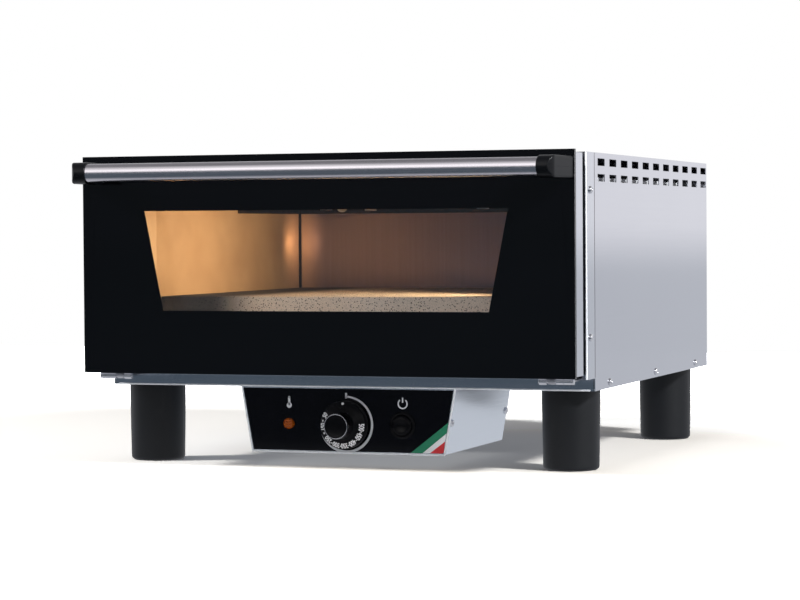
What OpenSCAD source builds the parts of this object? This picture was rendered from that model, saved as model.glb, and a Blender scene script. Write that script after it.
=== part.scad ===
// Countertop electric pizza oven with a drop-down glass door.
// Millimetres, +Z up. X = 0 is the middle of the oven and the front faces -Y.
// The origin is the middle of the bounding box, at the height of the feet.

/* [Casing] */
// Width over the casing sides
body_w = 541; // [520:1:600]
// Depth of the folded cover behind the front frame
cover_depth = 515; // [500:1:600]
// Height of the casing from its lower edge to the top
case_h = 243.3; // [241:0.1:280]
// Sheet thickness of cover, base and back
sheet = 1.2; // [0.8:0.1:1.5]
// Height of the skirt under the front frame
skirt_h = 13.2; // [12:0.1:16]
// Width of the turned-in edges of the sheets
fold_w = 14; // [12:0.5:18]
// Height of the upright edges of the base
base_edge_h = 22; // [18:0.5:28]

/* [Front frame] */
// Depth of the front frame's side strip
frame_depth = 29; // [24:0.5:34]
// Sheet thickness of the front frame
frame_sheet = 1.5; // [1:0.1:2]
// Gap between the door's back and the frame, filled by the seal
seal_gap = 9; // [8:0.5:12]
// Thickness of the rope seal
seal_d = 8.4; // [6:0.1:8.6]
// Distance from the mouth's edge to the middle of the rope seal
seal_off = 8; // [7:0.5:10]

/* [Chamber] */
// Distance from the casing's side to the chamber's inside
chamber_in = 58.5; // [56:0.5:70]
// Depth of the chamber behind the front frame's face
chamber_depth = 431; // [400:1:440]
// Clear height from the stone to the ceiling
clear_h = 106.5; // [100:0.5:108]
// Height of the stone's face above the casing's lower edge
stone_level = 96; // [94:0.5:98]
// Thickness of the refractory stone
stone_t = 17; // [12:0.5:19]
// Space between the stone and the chamber floor
heater_space = 31.5; // [28:0.5:33]
// Sheet thickness of the chamber walls
liner_t = 1; // [0.8:0.1:1.2]
// How far the mouth flares out on each side
mouth_flare = 10; // [6:0.5:12]
// Depth of the flare
flare_depth = 16; // [10:0.5:18]
// How far the mouth's sill lies below the stone's face
sill_drop = 22; // [20:0.5:24]
// Distance from the frame's face to the stone's front edge
stone_set = 20; // [19:0.5:30]
// Clearance round the stone
stone_gap = 4; // [2:0.5:6]

/* [Insulation] */
// Thickness beside the chamber
side_wool = 36; // [20:0.5:38]
// Thickness above the chamber
top_wool = 16; // [10:0.5:30]
// Thickness behind the chamber
back_wool = 50; // [20:0.5:56]
// Thickness below the chamber
floor_wool = 29; // [20:0.5:30]
// Distance from the feet's axes in to the rails that carry the insulation
rail_in = 85; // [70:1:110]
// Width of the rails that carry the insulation
rail_w = 24; // [16:0.5:30]

/* [Heaters] */
// Diameter of the heater tubes
heater_d = 6.5; // [5:0.1:8]
// Distance between two runs of a heater
run_pitch = 62; // [50:0.5:64]
// Height of the upper heater's axis below the ceiling
upper_drop = 7.5; // [5:0.1:9]
// Height of the lower heater's axis above the floor
lower_rise = 15; // [8:0.5:20]
// Distance from the frame's face to the heaters' front bends
heater_set = 60; // [40:1:90]
// Distance from the back wall to the heaters' rear bends
heater_back = 30; // [15:1:50]
// How far the cold ends stand out behind the insulation
cold_end = 16; // [10:0.5:24]

/* [Door] */
// Width of the door
door_w = 540; // [520:1:541]
// Height of the door
door_h = 228.5; // [227:0.5:232]
// Height of the door's lower edge above the casing's lower edge
door_lift = 16.5; // [16:0.5:18]
// Thickness of the outer glass
glass_t = 5; // [4:0.5:6]
// Thickness of the printed border
print_t = 0.3; // [0.2:0.1:0.5]
// Depth of the door tray
tray_depth = 29.7; // [26:0.1:32]
// How far the tray stays inside the glass's edges
tray_inset = 1.5; // [1:0.5:3]
// Width of the glued edge behind the glass
glue_edge = 24; // [23:0.5:28]
// Thickness of the inner glass
inner_glass_t = 4; // [3:0.5:5]

/* [Window] */
// Width of the window's upper edge
win_top_w = 400; // [360:1:410]
// Width of the window's lower edge
win_bottom_w = 358.6; // [320:1:380]
// Height of the window
win_h = 104.6; // [90:0.2:106]
// Height of the window's lower edge above the door's lower edge
win_lift = 66; // [64:0.5:70]

/* [Handle] */
// Diameter of the handle tube
handle_d = 19; // [16:0.5:20]
// Wall of the handle tube
handle_wall = 1.5; // [1:0.1:2]
// Distance from the door's side to the visible end of the handle tube
handle_in = 25.5; // [24:0.5:50]
// Distance from the glass to the tube's axis
handle_stand = 38.5; // [34:0.5:50]
// Distance from the door's upper edge down to the tube's axis
handle_drop = 18; // [17:0.5:24]
// Thickness of a handle bracket at its front
bracket_t = 15.5; // [14:0.5:18]
// How far a bracket widens towards the door
bracket_flare = 9; // [2:0.5:9.5]
// Height of a bracket's foot on the glass
bracket_foot = 30; // [26:0.5:34]
// Diameter of a bracket's round front
bracket_d = 22.4; // [22:0.1:26]
// Depth of the sockets that hold the tube
socket_depth = 10; // [6:0.5:12]

/* [Hinges] */
// Distance of the hinge axis behind the door's face
hinge_back = 24; // [22:0.5:26]
// Distance of the hinge axis below the door's lower edge
hinge_down = 4; // [4:0.1:5]
// Diameter of the hinge pins
pin_d = 4; // [3:0.1:4.2]
// Outer diameter of the knuckles
knuckle_d = 7.2; // [7:0.1:7.4]
// Distance from the door's side to the hinge
hinge_in = 10; // [8.5:0.5:20]
// Width of one knuckle
knuckle_w = 8; // [6:0.5:10]
// Width that the spring takes
spring_w = 9; // [6:0.5:10]
// Thickness of the hinge plates
hinge_plate = 1.6; // [1.2:0.1:1.8]

/* [Control box] */
// Width of the control box at its top
box_top_w = 240; // [220:1:280]
// Width of the control box at its bottom
box_bottom_w = 216; // [210:1:219]
// Height of the control box
box_h = 69; // [60:0.5:72]
// Depth of the control box
box_depth = 202; // [160:1:240]
// Thickness of the control panel
panel_t = 2; // [1.5:0.1:3]
// Width of the bright rim round the panel
panel_rim = 1.4; // [1.3:0.1:2]
// Height of the controls above the box's bottom
controls_up = 30; // [28:0.5:34]
// Place of the pilot lamp across the panel
pilot_x = -65.5; // [-80:0.5:-50]
// Place of the thermostat across the panel
dial_x = -1; // [-10:0.5:10]
// Place of the power button across the panel
switch_x = 62; // [50:0.5:75]

/* [Controls] */
// Diameter of the pilot lamp's lens
pilot_d = 11.5; // [9:0.5:14]
// Diameter of the knob's numbered skirt
skirt_d = 51; // [40:0.5:54]
// Thickness of the knob's skirt with the gap behind it
skirt_reach = 15; // [8:0.5:18]
// Diameter of the knob's grip
grip_d = 27; // [20:0.5:32]
// Distance from the panel to the knob's front
grip_reach = 32; // [24:0.5:38]
// Diameter of the thermostat spindle
spindle_d = 6; // [4:0.5:8]
// Outer diameter of the power button's bezel
bezel_d = 28.6; // [26:0.2:32]
// Diameter of the power button
button_d = 21.6; // [16:0.2:22]
// Travel of the power button
button_travel = 3; // [1:0.5:4]

/* [Feet] */
// Height of a foot
foot_h = 83.5; // [75:0.5:110]
// Diameter of a foot at its top
foot_d = 61; // [50:0.5:66]
// How much narrower a foot is at its bottom
foot_taper = 2.5; // [0:0.5:6]
// Distance from the casing's side to a foot's axis
foot_in = 35.5; // [34:0.5:60]
// Distance from the skirt to the front feet's axis
foot_front = 35; // [34:0.5:80]
// Distance from the casing's rear to the rear feet's axis
foot_rear = 68; // [36:0.5:100]
// How far the foot bolts go into a foot
foot_bolt_in = 22; // [16:0.5:40]
// Diameter of the foot bolts
foot_bolt_d = 8; // [6:0.5:10]

/* [Vents] */
// Number of slots in a row
vent_count = 11; // [6:1:12]
// Length of a slot
vent_len = 28; // [18:0.5:32]
// Height of a slot
vent_h = 7.5; // [5:0.5:9]
// Distance from the cover's rear edge to the last slot
vent_rear = 4.2; // [4:0.1:8]
// Distance between two slots of a row
vent_pitch = 47; // [36:0.1:47.5]
// Distance from the casing's top to the upper row
vent_top = 5.8; // [5:0.1:10]
// Distance between the two rows
vent_rise = 16; // [12:0.5:20]

/* [Fasteners and fittings] */
// Distance from the cover's front edge to its first lower screw
cover_screw_front = 58.6; // [40:0.1:80]
// Distance from the cover's rear edge to its last lower screw
cover_screw_rear = 62.3; // [40:0.1:80]
// Height of the cover's lower screws above its lower edge
cover_screw_up = 6.2; // [5:0.1:8]
// Depth of the frame's screws behind its front edge
frame_screw_set = 12.5; // [11:0.1:16]
// Height of the frame's lower screws above the door's lower edge
frame_screw_low = 38.9; // [30:0.1:60]
// Height of the frame's upper screws above the door's lower edge
frame_screw_high = 188.4; // [160:0.1:200]
// Height of the control box's side screws above its bottom
box_screw_up = 33; // [20:0.5:45]
// Distance between the two screws in a handle bracket
handle_screw_pitch = 16; // [14:0.5:18]
// Diameter of the screws' heads
head_d = 7.6; // [6:0.1:9]
// Height of the screws' heads
head_h = 2.4; // [1.5:0.1:3]
// Diameter of the screws
screw_d = 4; // [3:0.1:5]
// How far the handle's screws go into a bracket
handle_screw_in = 12; // [8:0.5:16]
// Length of the sheet screws
screw_len = 6; // [4:0.5:8]
// Clearance round a screw or fitting in its hole
fit_gap = 0.1; // [0.05:0.05:0.2]
// Outer diameter of the cable gland
gland_d = 22; // [18:0.5:26]
// Diameter of the cable gland's bore
gland_bore = 9; // [6:0.5:10]
// How far the cable gland stands out
gland_reach = 18; // [12:0.5:24]
// Diameter of the oven lamp's flange
lamp_d = 50; // [40:0.5:56]
// Distance from the frame's face to the oven lamp
lamp_set = 86; // [70:1:120]
// Distance from the ceiling down to the oven lamp
lamp_drop = 49; // [40:0.5:60]
// Diameter of the thermostat's sensor
sensor_d = 6; // [4:0.5:8]
// Length of the thermostat's sensor
sensor_len = 90; // [60:1:110]
// Distance from the frame's face to the sensor
sensor_set = 216; // [150:1:230]
// Distance from the ceiling down to the sensor
sensor_drop = 18; // [16:0.5:24]
// Distance from the casing's side to the cable gland
gland_in = 70.5; // [60:0.5:100]
// Height of the cable gland above the casing's lower edge
gland_up = 36; // [26:0.5:50]

/* [Hidden] */

$fn = 48;
eps = 0.01;

// Depths are counted from the door's face, heights from the floor.
door_t = glass_t + print_t + tray_depth;
frame_y = door_t + seal_gap;
cover_y = frame_y + frame_depth;
rear_y = cover_y + cover_depth;
reach = handle_stand + bracket_d / 2;
face_y = -(rear_y + gland_reach - reach) / 2;

base_z = foot_h;
top_z = base_z + case_h;
skirt_z = base_z + skirt_h;
floor_in_z = base_z + sheet;
side_x = body_w / 2;
side_in = side_x - sheet;
frame_in = side_x - frame_sheet;
skirt_x = side_in - 0.6;

stone_z = base_z + stone_level;
rail_z = stone_z - stone_t;
chamber_z = rail_z - heater_space;
ceiling_z = stone_z + clear_h;
chamber_x = side_x - chamber_in;
wall_x = chamber_x + liner_t;
back_in_y = frame_y + chamber_depth;
back_out_y = back_in_y + liner_t;
mouth_x = chamber_x + mouth_flare;
sill_z = stone_z - sill_drop;
mouth_top_z = ceiling_z - 1;
wool_x = wall_x + side_wool;
wool_z = chamber_z - liner_t - floor_wool;
wool_back_y = back_out_y + back_wool;
wool_front_y = frame_y + frame_sheet + 3;

run_count = 6;
first_run_x = -run_pitch * (run_count - 1) / 2;
front_bend_y = frame_y + heater_set + run_pitch / 2;
rear_bend_y = back_in_y - heater_back - run_pitch / 2;
cold_y = wool_back_y + cold_end;
upper_z = ceiling_z - upper_drop;
lower_z = chamber_z + lower_rise;
bushing_d = heater_d + 8;
clip_ys = [frame_y + 110, (frame_y + back_in_y) / 2, back_in_y - 70];

door_z = base_z + door_lift;
door_x = door_w / 2;
tray_x = door_x - tray_inset;
tray_z = door_z + tray_inset;
tray_top_z = door_z + door_h - 2 * tray_inset;
tray_back_y = door_t - sheet;
tray_win_x = mouth_x + 4;
tray_win_z = sill_z - 6;
tray_win_top_z = mouth_top_z + 5;
pane_lap = 8;
win_z = door_z + win_lift;

handle_z = door_z + door_h - handle_drop;
bracket_in = door_x - handle_in;
bracket_out = bracket_in + bracket_t;
handle_screw_x = bracket_in + bracket_t / 2 + 1.5;

axis_y = hinge_back;
axis_z = door_z - hinge_down;
hinge_out_x = door_x - hinge_in;
leaf_out_x = hinge_out_x - knuckle_w - 0.3;
leaf_in_x = leaf_out_x - knuckle_w;
spring_out_x = leaf_in_x - 0.4;
spring_in_x = spring_out_x - spring_w;
hinge_in_x = spring_in_x - 0.4 - knuckle_w;

box_z = base_z - box_h;
box_slope = (box_top_w - box_bottom_w) / 2 / box_h;
box_back_y = cover_y + box_depth;
panel_back_y = cover_y + panel_t;
control_z = box_z + controls_up;

foot_x = side_x - foot_in;
foot_ys = [cover_y + foot_front, rear_y - foot_rear];
rail_x = foot_x - rail_in;
bolt_head_h = 5;

cover_screw_ys = [cover_y + cover_screw_front, cover_y + cover_depth / 2, rear_y - cover_screw_rear];
cover_screw_z = base_z + cover_screw_up;
frame_screw_zs = [door_z + frame_screw_low, door_z + frame_screw_high];
frame_screw_y = frame_y + frame_screw_set;
back_screw_x = side_in - 7;
back_screw_zs = [base_z + 12, base_z + 120, top_z - 8];
box_screw_ys = [cover_y + 7, box_back_y - 5];
box_screw_z = box_z + box_screw_up;

gland_x = side_x - gland_in;
gland_z = base_z + gland_up;
lamp_y = frame_y + lamp_set;
lamp_z = ceiling_z - lamp_drop;
lamp_tube_d = lamp_d - 10;
sensor_x = chamber_x - sensor_d / 2 - 4;
sensor_y = frame_y + sensor_set;
sensor_z = ceiling_z - sensor_drop;

// Places that the capillary and the wires pass, chosen by hand (X, depth, height).
capillary_hole_y = sensor_y + sensor_len + 14;
capillary_low_z = floor_in_z + 3.5;
capillary_points = [[sensor_x, sensor_y + sensor_len, sensor_z], [sensor_x, capillary_hole_y - 4, sensor_z],
                    [sensor_x + 4, capillary_hole_y, sensor_z], [wool_x + 3, capillary_hole_y, sensor_z],
                    [wool_x + 7, capillary_hole_y, sensor_z - 4], [wool_x + 7, capillary_hole_y, capillary_low_z + 4],
                    [wool_x + 3, capillary_hole_y, capillary_low_z], [90, capillary_hole_y, capillary_low_z],
                    [60, capillary_hole_y - 30, capillary_low_z], [40, cover_y + 130, capillary_low_z],
                    [34, cover_y + 110, base_z - 4], [dial_x + 12, cover_y + 70, control_z + 8],
                    [dial_x + 12, cover_y + panel_t + 32, control_z + 8]];

// ---------- shared shapes ----------

// Everything inside is placed by its depth behind the door's face.
module placed() { translate([0, face_y, 0]) children(); }

module both_sides() {
    children();
    mirror([1, 0, 0]) children();
}

// A block from its low corner to its high corner.
module block(low, high) { translate(low) cube(high - low); }

// A cylinder along X, Y or Z from a point.
module rod_x(p, r, len) { translate(p) rotate([0, 90, 0]) cylinder(r = r, h = len); }
module rod_y(p, r, len) { translate(p) rotate([-90, 0, 0]) cylinder(r = r, h = len); }
module rod_z(p, r, len) { translate(p) cylinder(r = r, h = len); }

// An outline drawn in X and Z, given depth from y.
module plate_xz(y, t) { translate([0, y + t, 0]) rotate([90, 0, 0]) linear_extrude(t) children(); }

// A bar bent by half a turn in a level plane, open towards +Y or -Y.
module bend(p, r, tube_r, side) {
    translate(p) rotate([0, 0, side > 0 ? 0 : 180])
        rotate_extrude(angle = 180) translate([r, 0]) circle(r = tube_r);
}

// A screw with a low round head: the shank runs along +X from the head's seat.
module pan_screw(shank) {
    rotate([0, 90, 0]) {
        translate([0, 0, -head_h]) cylinder(r1 = head_d / 2 - 1, r2 = head_d / 2, h = head_h / 2);
        translate([0, 0, -head_h / 2]) cylinder(r = head_d / 2, h = head_h / 2);
        translate([0, 0, -eps]) cylinder(r = screw_d / 2, h = shank + eps);
    }
}

// A thin tube swept through points, as one closed mesh with eight sides.
function unit(v) = v / norm(v);
function tangent(path, i) =
    i == 0 ? unit(path[1] - path[0]) :
    i == len(path) - 1 ? unit(path[i] - path[i - 1]) :
    unit(unit(path[i] - path[i - 1]) + unit(path[i + 1] - path[i]));
function ring_side(t) = abs(t[2]) < 0.9 ? unit(cross(t, [0, 0, 1])) : unit(cross(t, [0, 1, 0]));
function ring_up(path, i, last) =
    let (t = tangent(path, i), v = last - (last * t) * t) norm(v) < 0.05 ? ring_side(t) : unit(v);
function ring_ups(path, i = 0, found = []) =
    i == len(path) ? found :
    ring_ups(path, i + 1, concat(found, [ring_up(path, i, i == 0 ? ring_side(tangent(path, 0)) : found[i - 1])]));
module swept(path, r, sides = 8) {
    ups = ring_ups(path);
    points = [for (i = [0 : len(path) - 1], k = [0 : sides - 1])
        let (t = tangent(path, i), u = ups[i], v = cross(t, u), a = k * 360 / sides)
        path[i] + r * (cos(a) * u + sin(a) * v)];
    walls = [for (i = [0 : len(path) - 2], k = [0 : sides - 1])
        let (n = (k + 1) % sides)
        [i * sides + k, (i + 1) * sides + k, (i + 1) * sides + n, i * sides + n]];
    caps = [[for (k = [0 : sides - 1]) k], [for (k = [sides - 1 : -1 : 0]) (len(path) - 1) * sides + k]];
    polyhedron(points, concat(walls, caps), convexity = 6);
}

// ---------- casing ----------

module foot_bolt_holes() {
    both_sides() for (y = foot_ys)
        rod_z([foot_x, y, base_z - 1], foot_bolt_d / 2 + fit_gap, sheet + 2);
}

cable_window = [[-60, cover_y + 95, base_z - 1], [60, cover_y + 150, floor_in_z + 1]];

module base_pan() {
    color("lightsteelblue") placed() difference() {
        union() {
            block([-skirt_x, cover_y, base_z], [skirt_x, cover_y + sheet, skirt_z]);
            block([-side_in, cover_y + sheet, base_z], [side_in, rear_y - sheet, floor_in_z]);
            block([-skirt_x, cover_y, base_z], [skirt_x, cover_y + 2 * sheet, floor_in_z]);
            block([-skirt_x, cover_y, skirt_z - sheet], [skirt_x, cover_y + fold_w, skirt_z]);
            both_sides() block([side_in - sheet, cover_y + fold_w + 2, base_z],
                               [side_in, rear_y - sheet, base_z + base_edge_h]);
            block([-side_in, rear_y - 2 * sheet, base_z], [side_in, rear_y - sheet, base_z + base_edge_h]);
        }
        foot_bolt_holes();
        block(cable_window[0], cable_window[1]);
        both_sides() for (y = cover_screw_ys)
            rod_x([side_in - 2 * sheet, y, cover_screw_z], screw_d / 2 + fit_gap, 4 * sheet);
        both_sides() rod_y([back_screw_x, rear_y - 3 * sheet, back_screw_zs[0]], screw_d / 2 + fit_gap, 3 * sheet);
    }
}

module support_rails() {
    front_y = cover_y + fold_w + 2;
    end_y = back_out_y + 0.4 * back_wool;
    color("silver") placed() both_sides() difference() {
        block([rail_x, front_y, floor_in_z], [rail_x + rail_w, end_y, wool_z]);
        block([rail_x + sheet, front_y - 1, floor_in_z - 1], [rail_x + rail_w - sheet, end_y + 1, wool_z - sheet]);
        rod_x([rail_x - 1, capillary_hole_y, capillary_low_z], 2.5, rail_w + 2);
    }
}

module vent_row(z) {
    first = cover_depth - vent_rear - vent_len - (vent_count - 1) * vent_pitch;
    for (i = [0 : vent_count - 1])
        block([side_in - 2, cover_y + first + i * vent_pitch, z - vent_h],
              [side_x + 1, cover_y + first + i * vent_pitch + vent_len, z]);
}

module casing_cover() {
    color("gainsboro") placed() difference() {
        union() {
            block([-side_x, cover_y, top_z - sheet], [side_x, rear_y, top_z]);
            both_sides() {
                block([side_in, cover_y, base_z], [side_x, rear_y, top_z]);
                // the front edge steps in behind the front frame's strip
                block([frame_in - sheet, cover_y, skirt_z + 4], [side_x, cover_y + sheet, top_z]);
                block([frame_in - sheet, frame_y + 5, skirt_z + 4], [frame_in, cover_y + sheet, top_z - frame_sheet]);
                // the rear edge turns in behind the back panel
                block([side_in - fold_w, rear_y - 2 * sheet, base_z + base_edge_h + 1],
                      [side_in, rear_y - sheet, top_z]);
            }
            block([-frame_in, cover_y, top_z - frame_sheet - sheet], [frame_in, cover_y + sheet, top_z]);
            block([-frame_in, frame_y + 5, top_z - frame_sheet - sheet],
                  [frame_in, cover_y + sheet, top_z - frame_sheet]);
            block([-side_in, rear_y - 2 * sheet, top_z - fold_w], [side_in, rear_y - sheet, top_z]);
        }
        both_sides() {
            vent_row(top_z - vent_top);
            vent_row(top_z - vent_top - vent_rise);
            for (y = cover_screw_ys)
                rod_x([side_in - 1, y, cover_screw_z], screw_d / 2 + fit_gap, sheet + 2);
            for (z = frame_screw_zs)
                rod_x([frame_in - 2 * sheet, frame_screw_y, z], screw_d / 2 + fit_gap, 3 * sheet);
            for (z = [back_screw_zs[1], back_screw_zs[2]])
                rod_y([back_screw_x, rear_y - 3 * sheet, z], screw_d / 2 + fit_gap, 3 * sheet);
        }
    }
}

module back_panel() {
    color("silver") placed() difference() {
        block([-side_in + 0.2, rear_y - sheet, floor_in_z], [side_in - 0.2, rear_y, top_z - sheet]);
        rod_y([gland_x, rear_y - 3, gland_z], gland_d / 2 - 3, 6);
        both_sides() for (z = back_screw_zs)
            rod_y([back_screw_x, rear_y - 3, z], screw_d / 2 + fit_gap, 6);
        for (i = [-3 : 3])
            block([i * 46 - vent_len / 2, rear_y - 3, top_z - 40], [i * 46 + vent_len / 2, rear_y + 1, top_z - 40 + vent_h]);
    }
}

module front_frame() {
    color("gainsboro") placed() difference() {
        block([-side_x, frame_y, skirt_z], [side_x, cover_y, top_z]);
        block([-frame_in, frame_y + frame_sheet, skirt_z + frame_sheet], [frame_in, cover_y + 1, top_z - frame_sheet]);
        block([-mouth_x, frame_y - 1, sill_z], [mouth_x, cover_y, mouth_top_z]);
        both_sides() for (z = frame_screw_zs)
            rod_x([frame_in - 1, frame_screw_y, z], screw_d / 2 + fit_gap, frame_sheet + 2);
    }
}

// ---------- chamber ----------

// Outline of the chamber seen from above: straight walls and a flared mouth.
function chamber_plan(x, back) = [
    [-x, back], [-x, frame_y + frame_sheet + flare_depth], [-x - mouth_flare, frame_y + frame_sheet],
    [x + mouth_flare, frame_y + frame_sheet], [x, frame_y + frame_sheet + flare_depth], [x, back]];

module chamber_liner() {
    color("silver") placed() difference() {
        translate([0, 0, chamber_z - liner_t])
            linear_extrude(ceiling_z - chamber_z + 2 * liner_t) polygon(chamber_plan(wall_x, back_out_y));
        translate([0, 0, chamber_z])
            linear_extrude(ceiling_z - chamber_z) polygon(chamber_plan(chamber_x, back_in_y));
        block([-mouth_x, frame_y, chamber_z], [mouth_x, frame_y + frame_sheet + eps, ceiling_z]);
        for (z = [upper_z, lower_z], s = [-1, 1])
            rod_y([s * first_run_x, back_in_y - 2, z], bushing_d / 2 + fit_gap, 5);
        rod_x([chamber_x - 2, lamp_y, lamp_z], lamp_tube_d / 2 + fit_gap, 5);
        rod_x([chamber_x - 2, capillary_hole_y, sensor_z], 2, 5);
    }
}

module insulation_top() {
    color("lightyellow") placed()
        block([-wool_x, wool_front_y, ceiling_z + liner_t], [wool_x, wool_back_y, ceiling_z + liner_t + top_wool]);
}

module side_slab() {
    translate([0, 0, chamber_z - liner_t]) linear_extrude(ceiling_z - chamber_z + 2 * liner_t)
        polygon([[wall_x, back_out_y], [wool_x, back_out_y], [wool_x, wool_front_y + flare_depth],
                 [wall_x, wool_front_y + flare_depth]]);
}

module insulation_left() { color("lightyellow") placed() mirror([1, 0, 0]) side_slab(); }

module insulation_right() {
    color("lightyellow") placed() difference() {
        side_slab();
        rod_x([wall_x - 1, lamp_y, lamp_z], lamp_tube_d / 2 + 1, side_wool + 2);
        rod_x([wall_x - 1, capillary_hole_y, sensor_z], 2.5, side_wool + 2);
    }
}

module insulation_back() {
    color("lightyellow") placed() difference() {
        block([-wool_x, back_out_y, chamber_z - liner_t], [wool_x, wool_back_y, ceiling_z + liner_t]);
        for (z = [upper_z, lower_z], s = [-1, 1])
            rod_y([s * first_run_x, back_out_y - 1, z], bushing_d / 2 + fit_gap, back_wool + 2);
    }
}

module insulation_floor() {
    color("lightyellow") placed()
        block([-wool_x, wool_front_y, wool_z], [wool_x, wool_back_y, chamber_z - liner_t]);
}

module stone_rails() {
    color("gray") placed() both_sides() difference() {
        block([chamber_x - 14, frame_y + 18, chamber_z], [chamber_x, back_in_y, rail_z]);
        block([chamber_x - 15, frame_y + 17, chamber_z - 1], [chamber_x - liner_t, back_in_y + 1, rail_z - liner_t]);
    }
}

module refractory_stone() {
    color("tan") placed()
        block([-chamber_x + stone_gap, frame_y + stone_set, rail_z],
              [chamber_x - stone_gap, back_in_y - stone_gap / 2, stone_z]);
}

// A heater: runs side by side, joined by half-turn bends, both ends through the back wall.
module heater(z) {
    r = heater_d / 2;
    for (i = [0 : run_count - 1]) {
        x = first_run_x + i * run_pitch;
        outer = i == 0 || i == run_count - 1;
        rod_y([x, front_bend_y, z], r, (outer ? cold_y : rear_bend_y) - front_bend_y);
    }
    for (i = [0 : 2 : run_count - 2])
        bend([first_run_x + (i + 0.5) * run_pitch, front_bend_y, z], run_pitch / 2, r, -1);
    for (i = [1 : 2 : run_count - 3])
        bend([first_run_x + (i + 0.5) * run_pitch, rear_bend_y, z], run_pitch / 2, r, 1);
}

module upper_heater() { color("dimgray") placed() heater(upper_z); }
module lower_heater() { color("dimgray") placed() heater(lower_z); }

// Plates with a hole for each run that they hold.
module heater_plates(z, low, high) {
    for (y = clip_ys, i = [1, run_count - 2]) {
        x = first_run_x + i * run_pitch;
        difference() {
            block([x - 7, y - 1, low], [x + 7, y + 1, high]);
            rod_y([x, y - 2, z], heater_d / 2 + fit_gap, 4);
        }
    }
}

module upper_heater_clips() { color("silver") placed() heater_plates(upper_z, upper_z - heater_d / 2 - 3, ceiling_z); }
module lower_heater_supports() { color("silver") placed() heater_plates(lower_z, chamber_z, lower_z + heater_d / 2 + 3); }

module heater_bushings() {
    color("white") placed() for (z = [upper_z, lower_z], s = [-1, 1]) difference() {
        rod_y([s * first_run_x, back_in_y - 3, z], bushing_d / 2, wool_back_y - back_in_y + 7);
        rod_y([s * first_run_x, back_in_y - 4, z], heater_d / 2 + fit_gap, wool_back_y - back_in_y + 9);
    }
}

// ---------- oven lamp ----------

module lamp_housing() {
    color("silver") placed() difference() {
        union() {
            rod_x([chamber_x - 2, lamp_y, lamp_z], lamp_d / 2, 2);
            rod_x([chamber_x - 2, lamp_y, lamp_z], lamp_tube_d / 2, side_wool - 2);
        }
        rod_x([chamber_x - 3, lamp_y, lamp_z], lamp_tube_d / 2 - 1.5, side_wool - 12);
    }
}

module lamp_bulb() {
    bulb_r = 9;
    neck_r = 6;
    neck_len = 12;
    low_a = -acos(neck_r / bulb_r);
    middle = neck_len + sqrt(bulb_r * bulb_r - neck_r * neck_r);
    steps = 8;
    color("lightyellow") placed() translate([chamber_x + side_wool - 15, lamp_y, lamp_z]) rotate([0, -90, 0])
        rotate_extrude() polygon(concat(
            [[0, 0], [neck_r, 0]],
            [for (i = [0 : steps - 1]) let (a = low_a + (90 - low_a) * i / steps)
                [bulb_r * cos(a), middle + bulb_r * sin(a)]],
            [[0, middle + bulb_r]]));
}

module lamp_cover() {
    cover_r = lamp_d / 2 - 2;
    color("lightcyan") placed() translate([chamber_x - 2, lamp_y, lamp_z]) rotate([0, -90, 0]) rotate_extrude()
        polygon([[0, 10], [cover_r - 8, 10], [cover_r - 3, 7], [cover_r, 0], [cover_r - 3, 0],
                 [cover_r - 5, 5], [cover_r - 9, 7], [0, 7]]);
}

// ---------- thermostat sensor ----------

module thermostat_sensor() {
    color("peru") placed() rod_y([sensor_x, sensor_y, sensor_z], sensor_d / 2, sensor_len - eps);
}

module sensor_clips() {
    color("silver") placed() for (y = [sensor_y + sensor_len / 5, sensor_y + 4 * sensor_len / 5]) difference() {
        block([sensor_x - sensor_d / 2 - 2, y - 3, sensor_z - sensor_d / 2 - 2],
              [chamber_x, y + 3, sensor_z + sensor_d / 2 + 2]);
        rod_y([sensor_x, y - 4, sensor_z], sensor_d / 2 + fit_gap, 8);
        block([sensor_x + sensor_d / 2 + 1, y - 4, sensor_z - sensor_d / 2 - 0.5],
              [chamber_x - 1, y + 4, sensor_z + sensor_d / 2 + 3]);
    }
}

module capillary_tube() { color("peru") placed() swept(capillary_points, 0.9); }

// ---------- control box ----------

function box_half(z, inset) = box_bottom_w / 2 + box_slope * (z - box_z) - inset;
module box_outline(inset, top_cut) {
    low = box_z + inset;
    high = base_z - top_cut;
    polygon([[-box_half(low, inset), low], [box_half(low, inset), low],
             [box_half(high, inset), high], [-box_half(high, inset), high]]);
}

module side_screw_holes(r) {
    for (y = box_screw_ys) both_sides() rod_x([box_half(box_screw_z, 6), y, box_screw_z], r, 12);
}

module control_box() {
    color("silver") placed() difference() {
        plate_xz(cover_y, box_depth) box_outline(0, 0);
        plate_xz(cover_y + panel_t + sheet, box_depth - panel_t - 2 * sheet) box_outline(sheet, sheet);
        plate_xz(cover_y - 1, panel_t + 1) box_outline(panel_rim, panel_rim);
        plate_xz(cover_y - 1, box_depth / 2) box_outline(12, 12);
        block([-box_top_w / 2 + 16, cover_y + 30, base_z - sheet - 1], [box_top_w / 2 - 16, box_back_y - 30, base_z + 1]);
        side_screw_holes(screw_d / 2 + 3 * fit_gap);
    }
}

module control_panel() {
    color("black") placed() difference() {
        plate_xz(cover_y, panel_t) box_outline(panel_rim, panel_rim);
        rod_y([pilot_x, cover_y - 1, control_z], pilot_d / 2 - 0.9 + fit_gap, panel_t + 2);
        rod_y([dial_x, cover_y - 1, control_z], spindle_d / 2 + 1, panel_t + 2);
        rod_y([switch_x, cover_y - 1, control_z], button_d / 2 + 0.6, panel_t + 2);
    }
}

module thermostat_body() {
    color("whitesmoke") placed() difference() {
        block([dial_x - 18, panel_back_y, control_z - 18], [dial_x + 18, panel_back_y + 32, control_z + 18]);
        rod_y([dial_x, panel_back_y - 1, control_z], spindle_d / 2 + fit_gap / 2, 27);
    }
}

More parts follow.
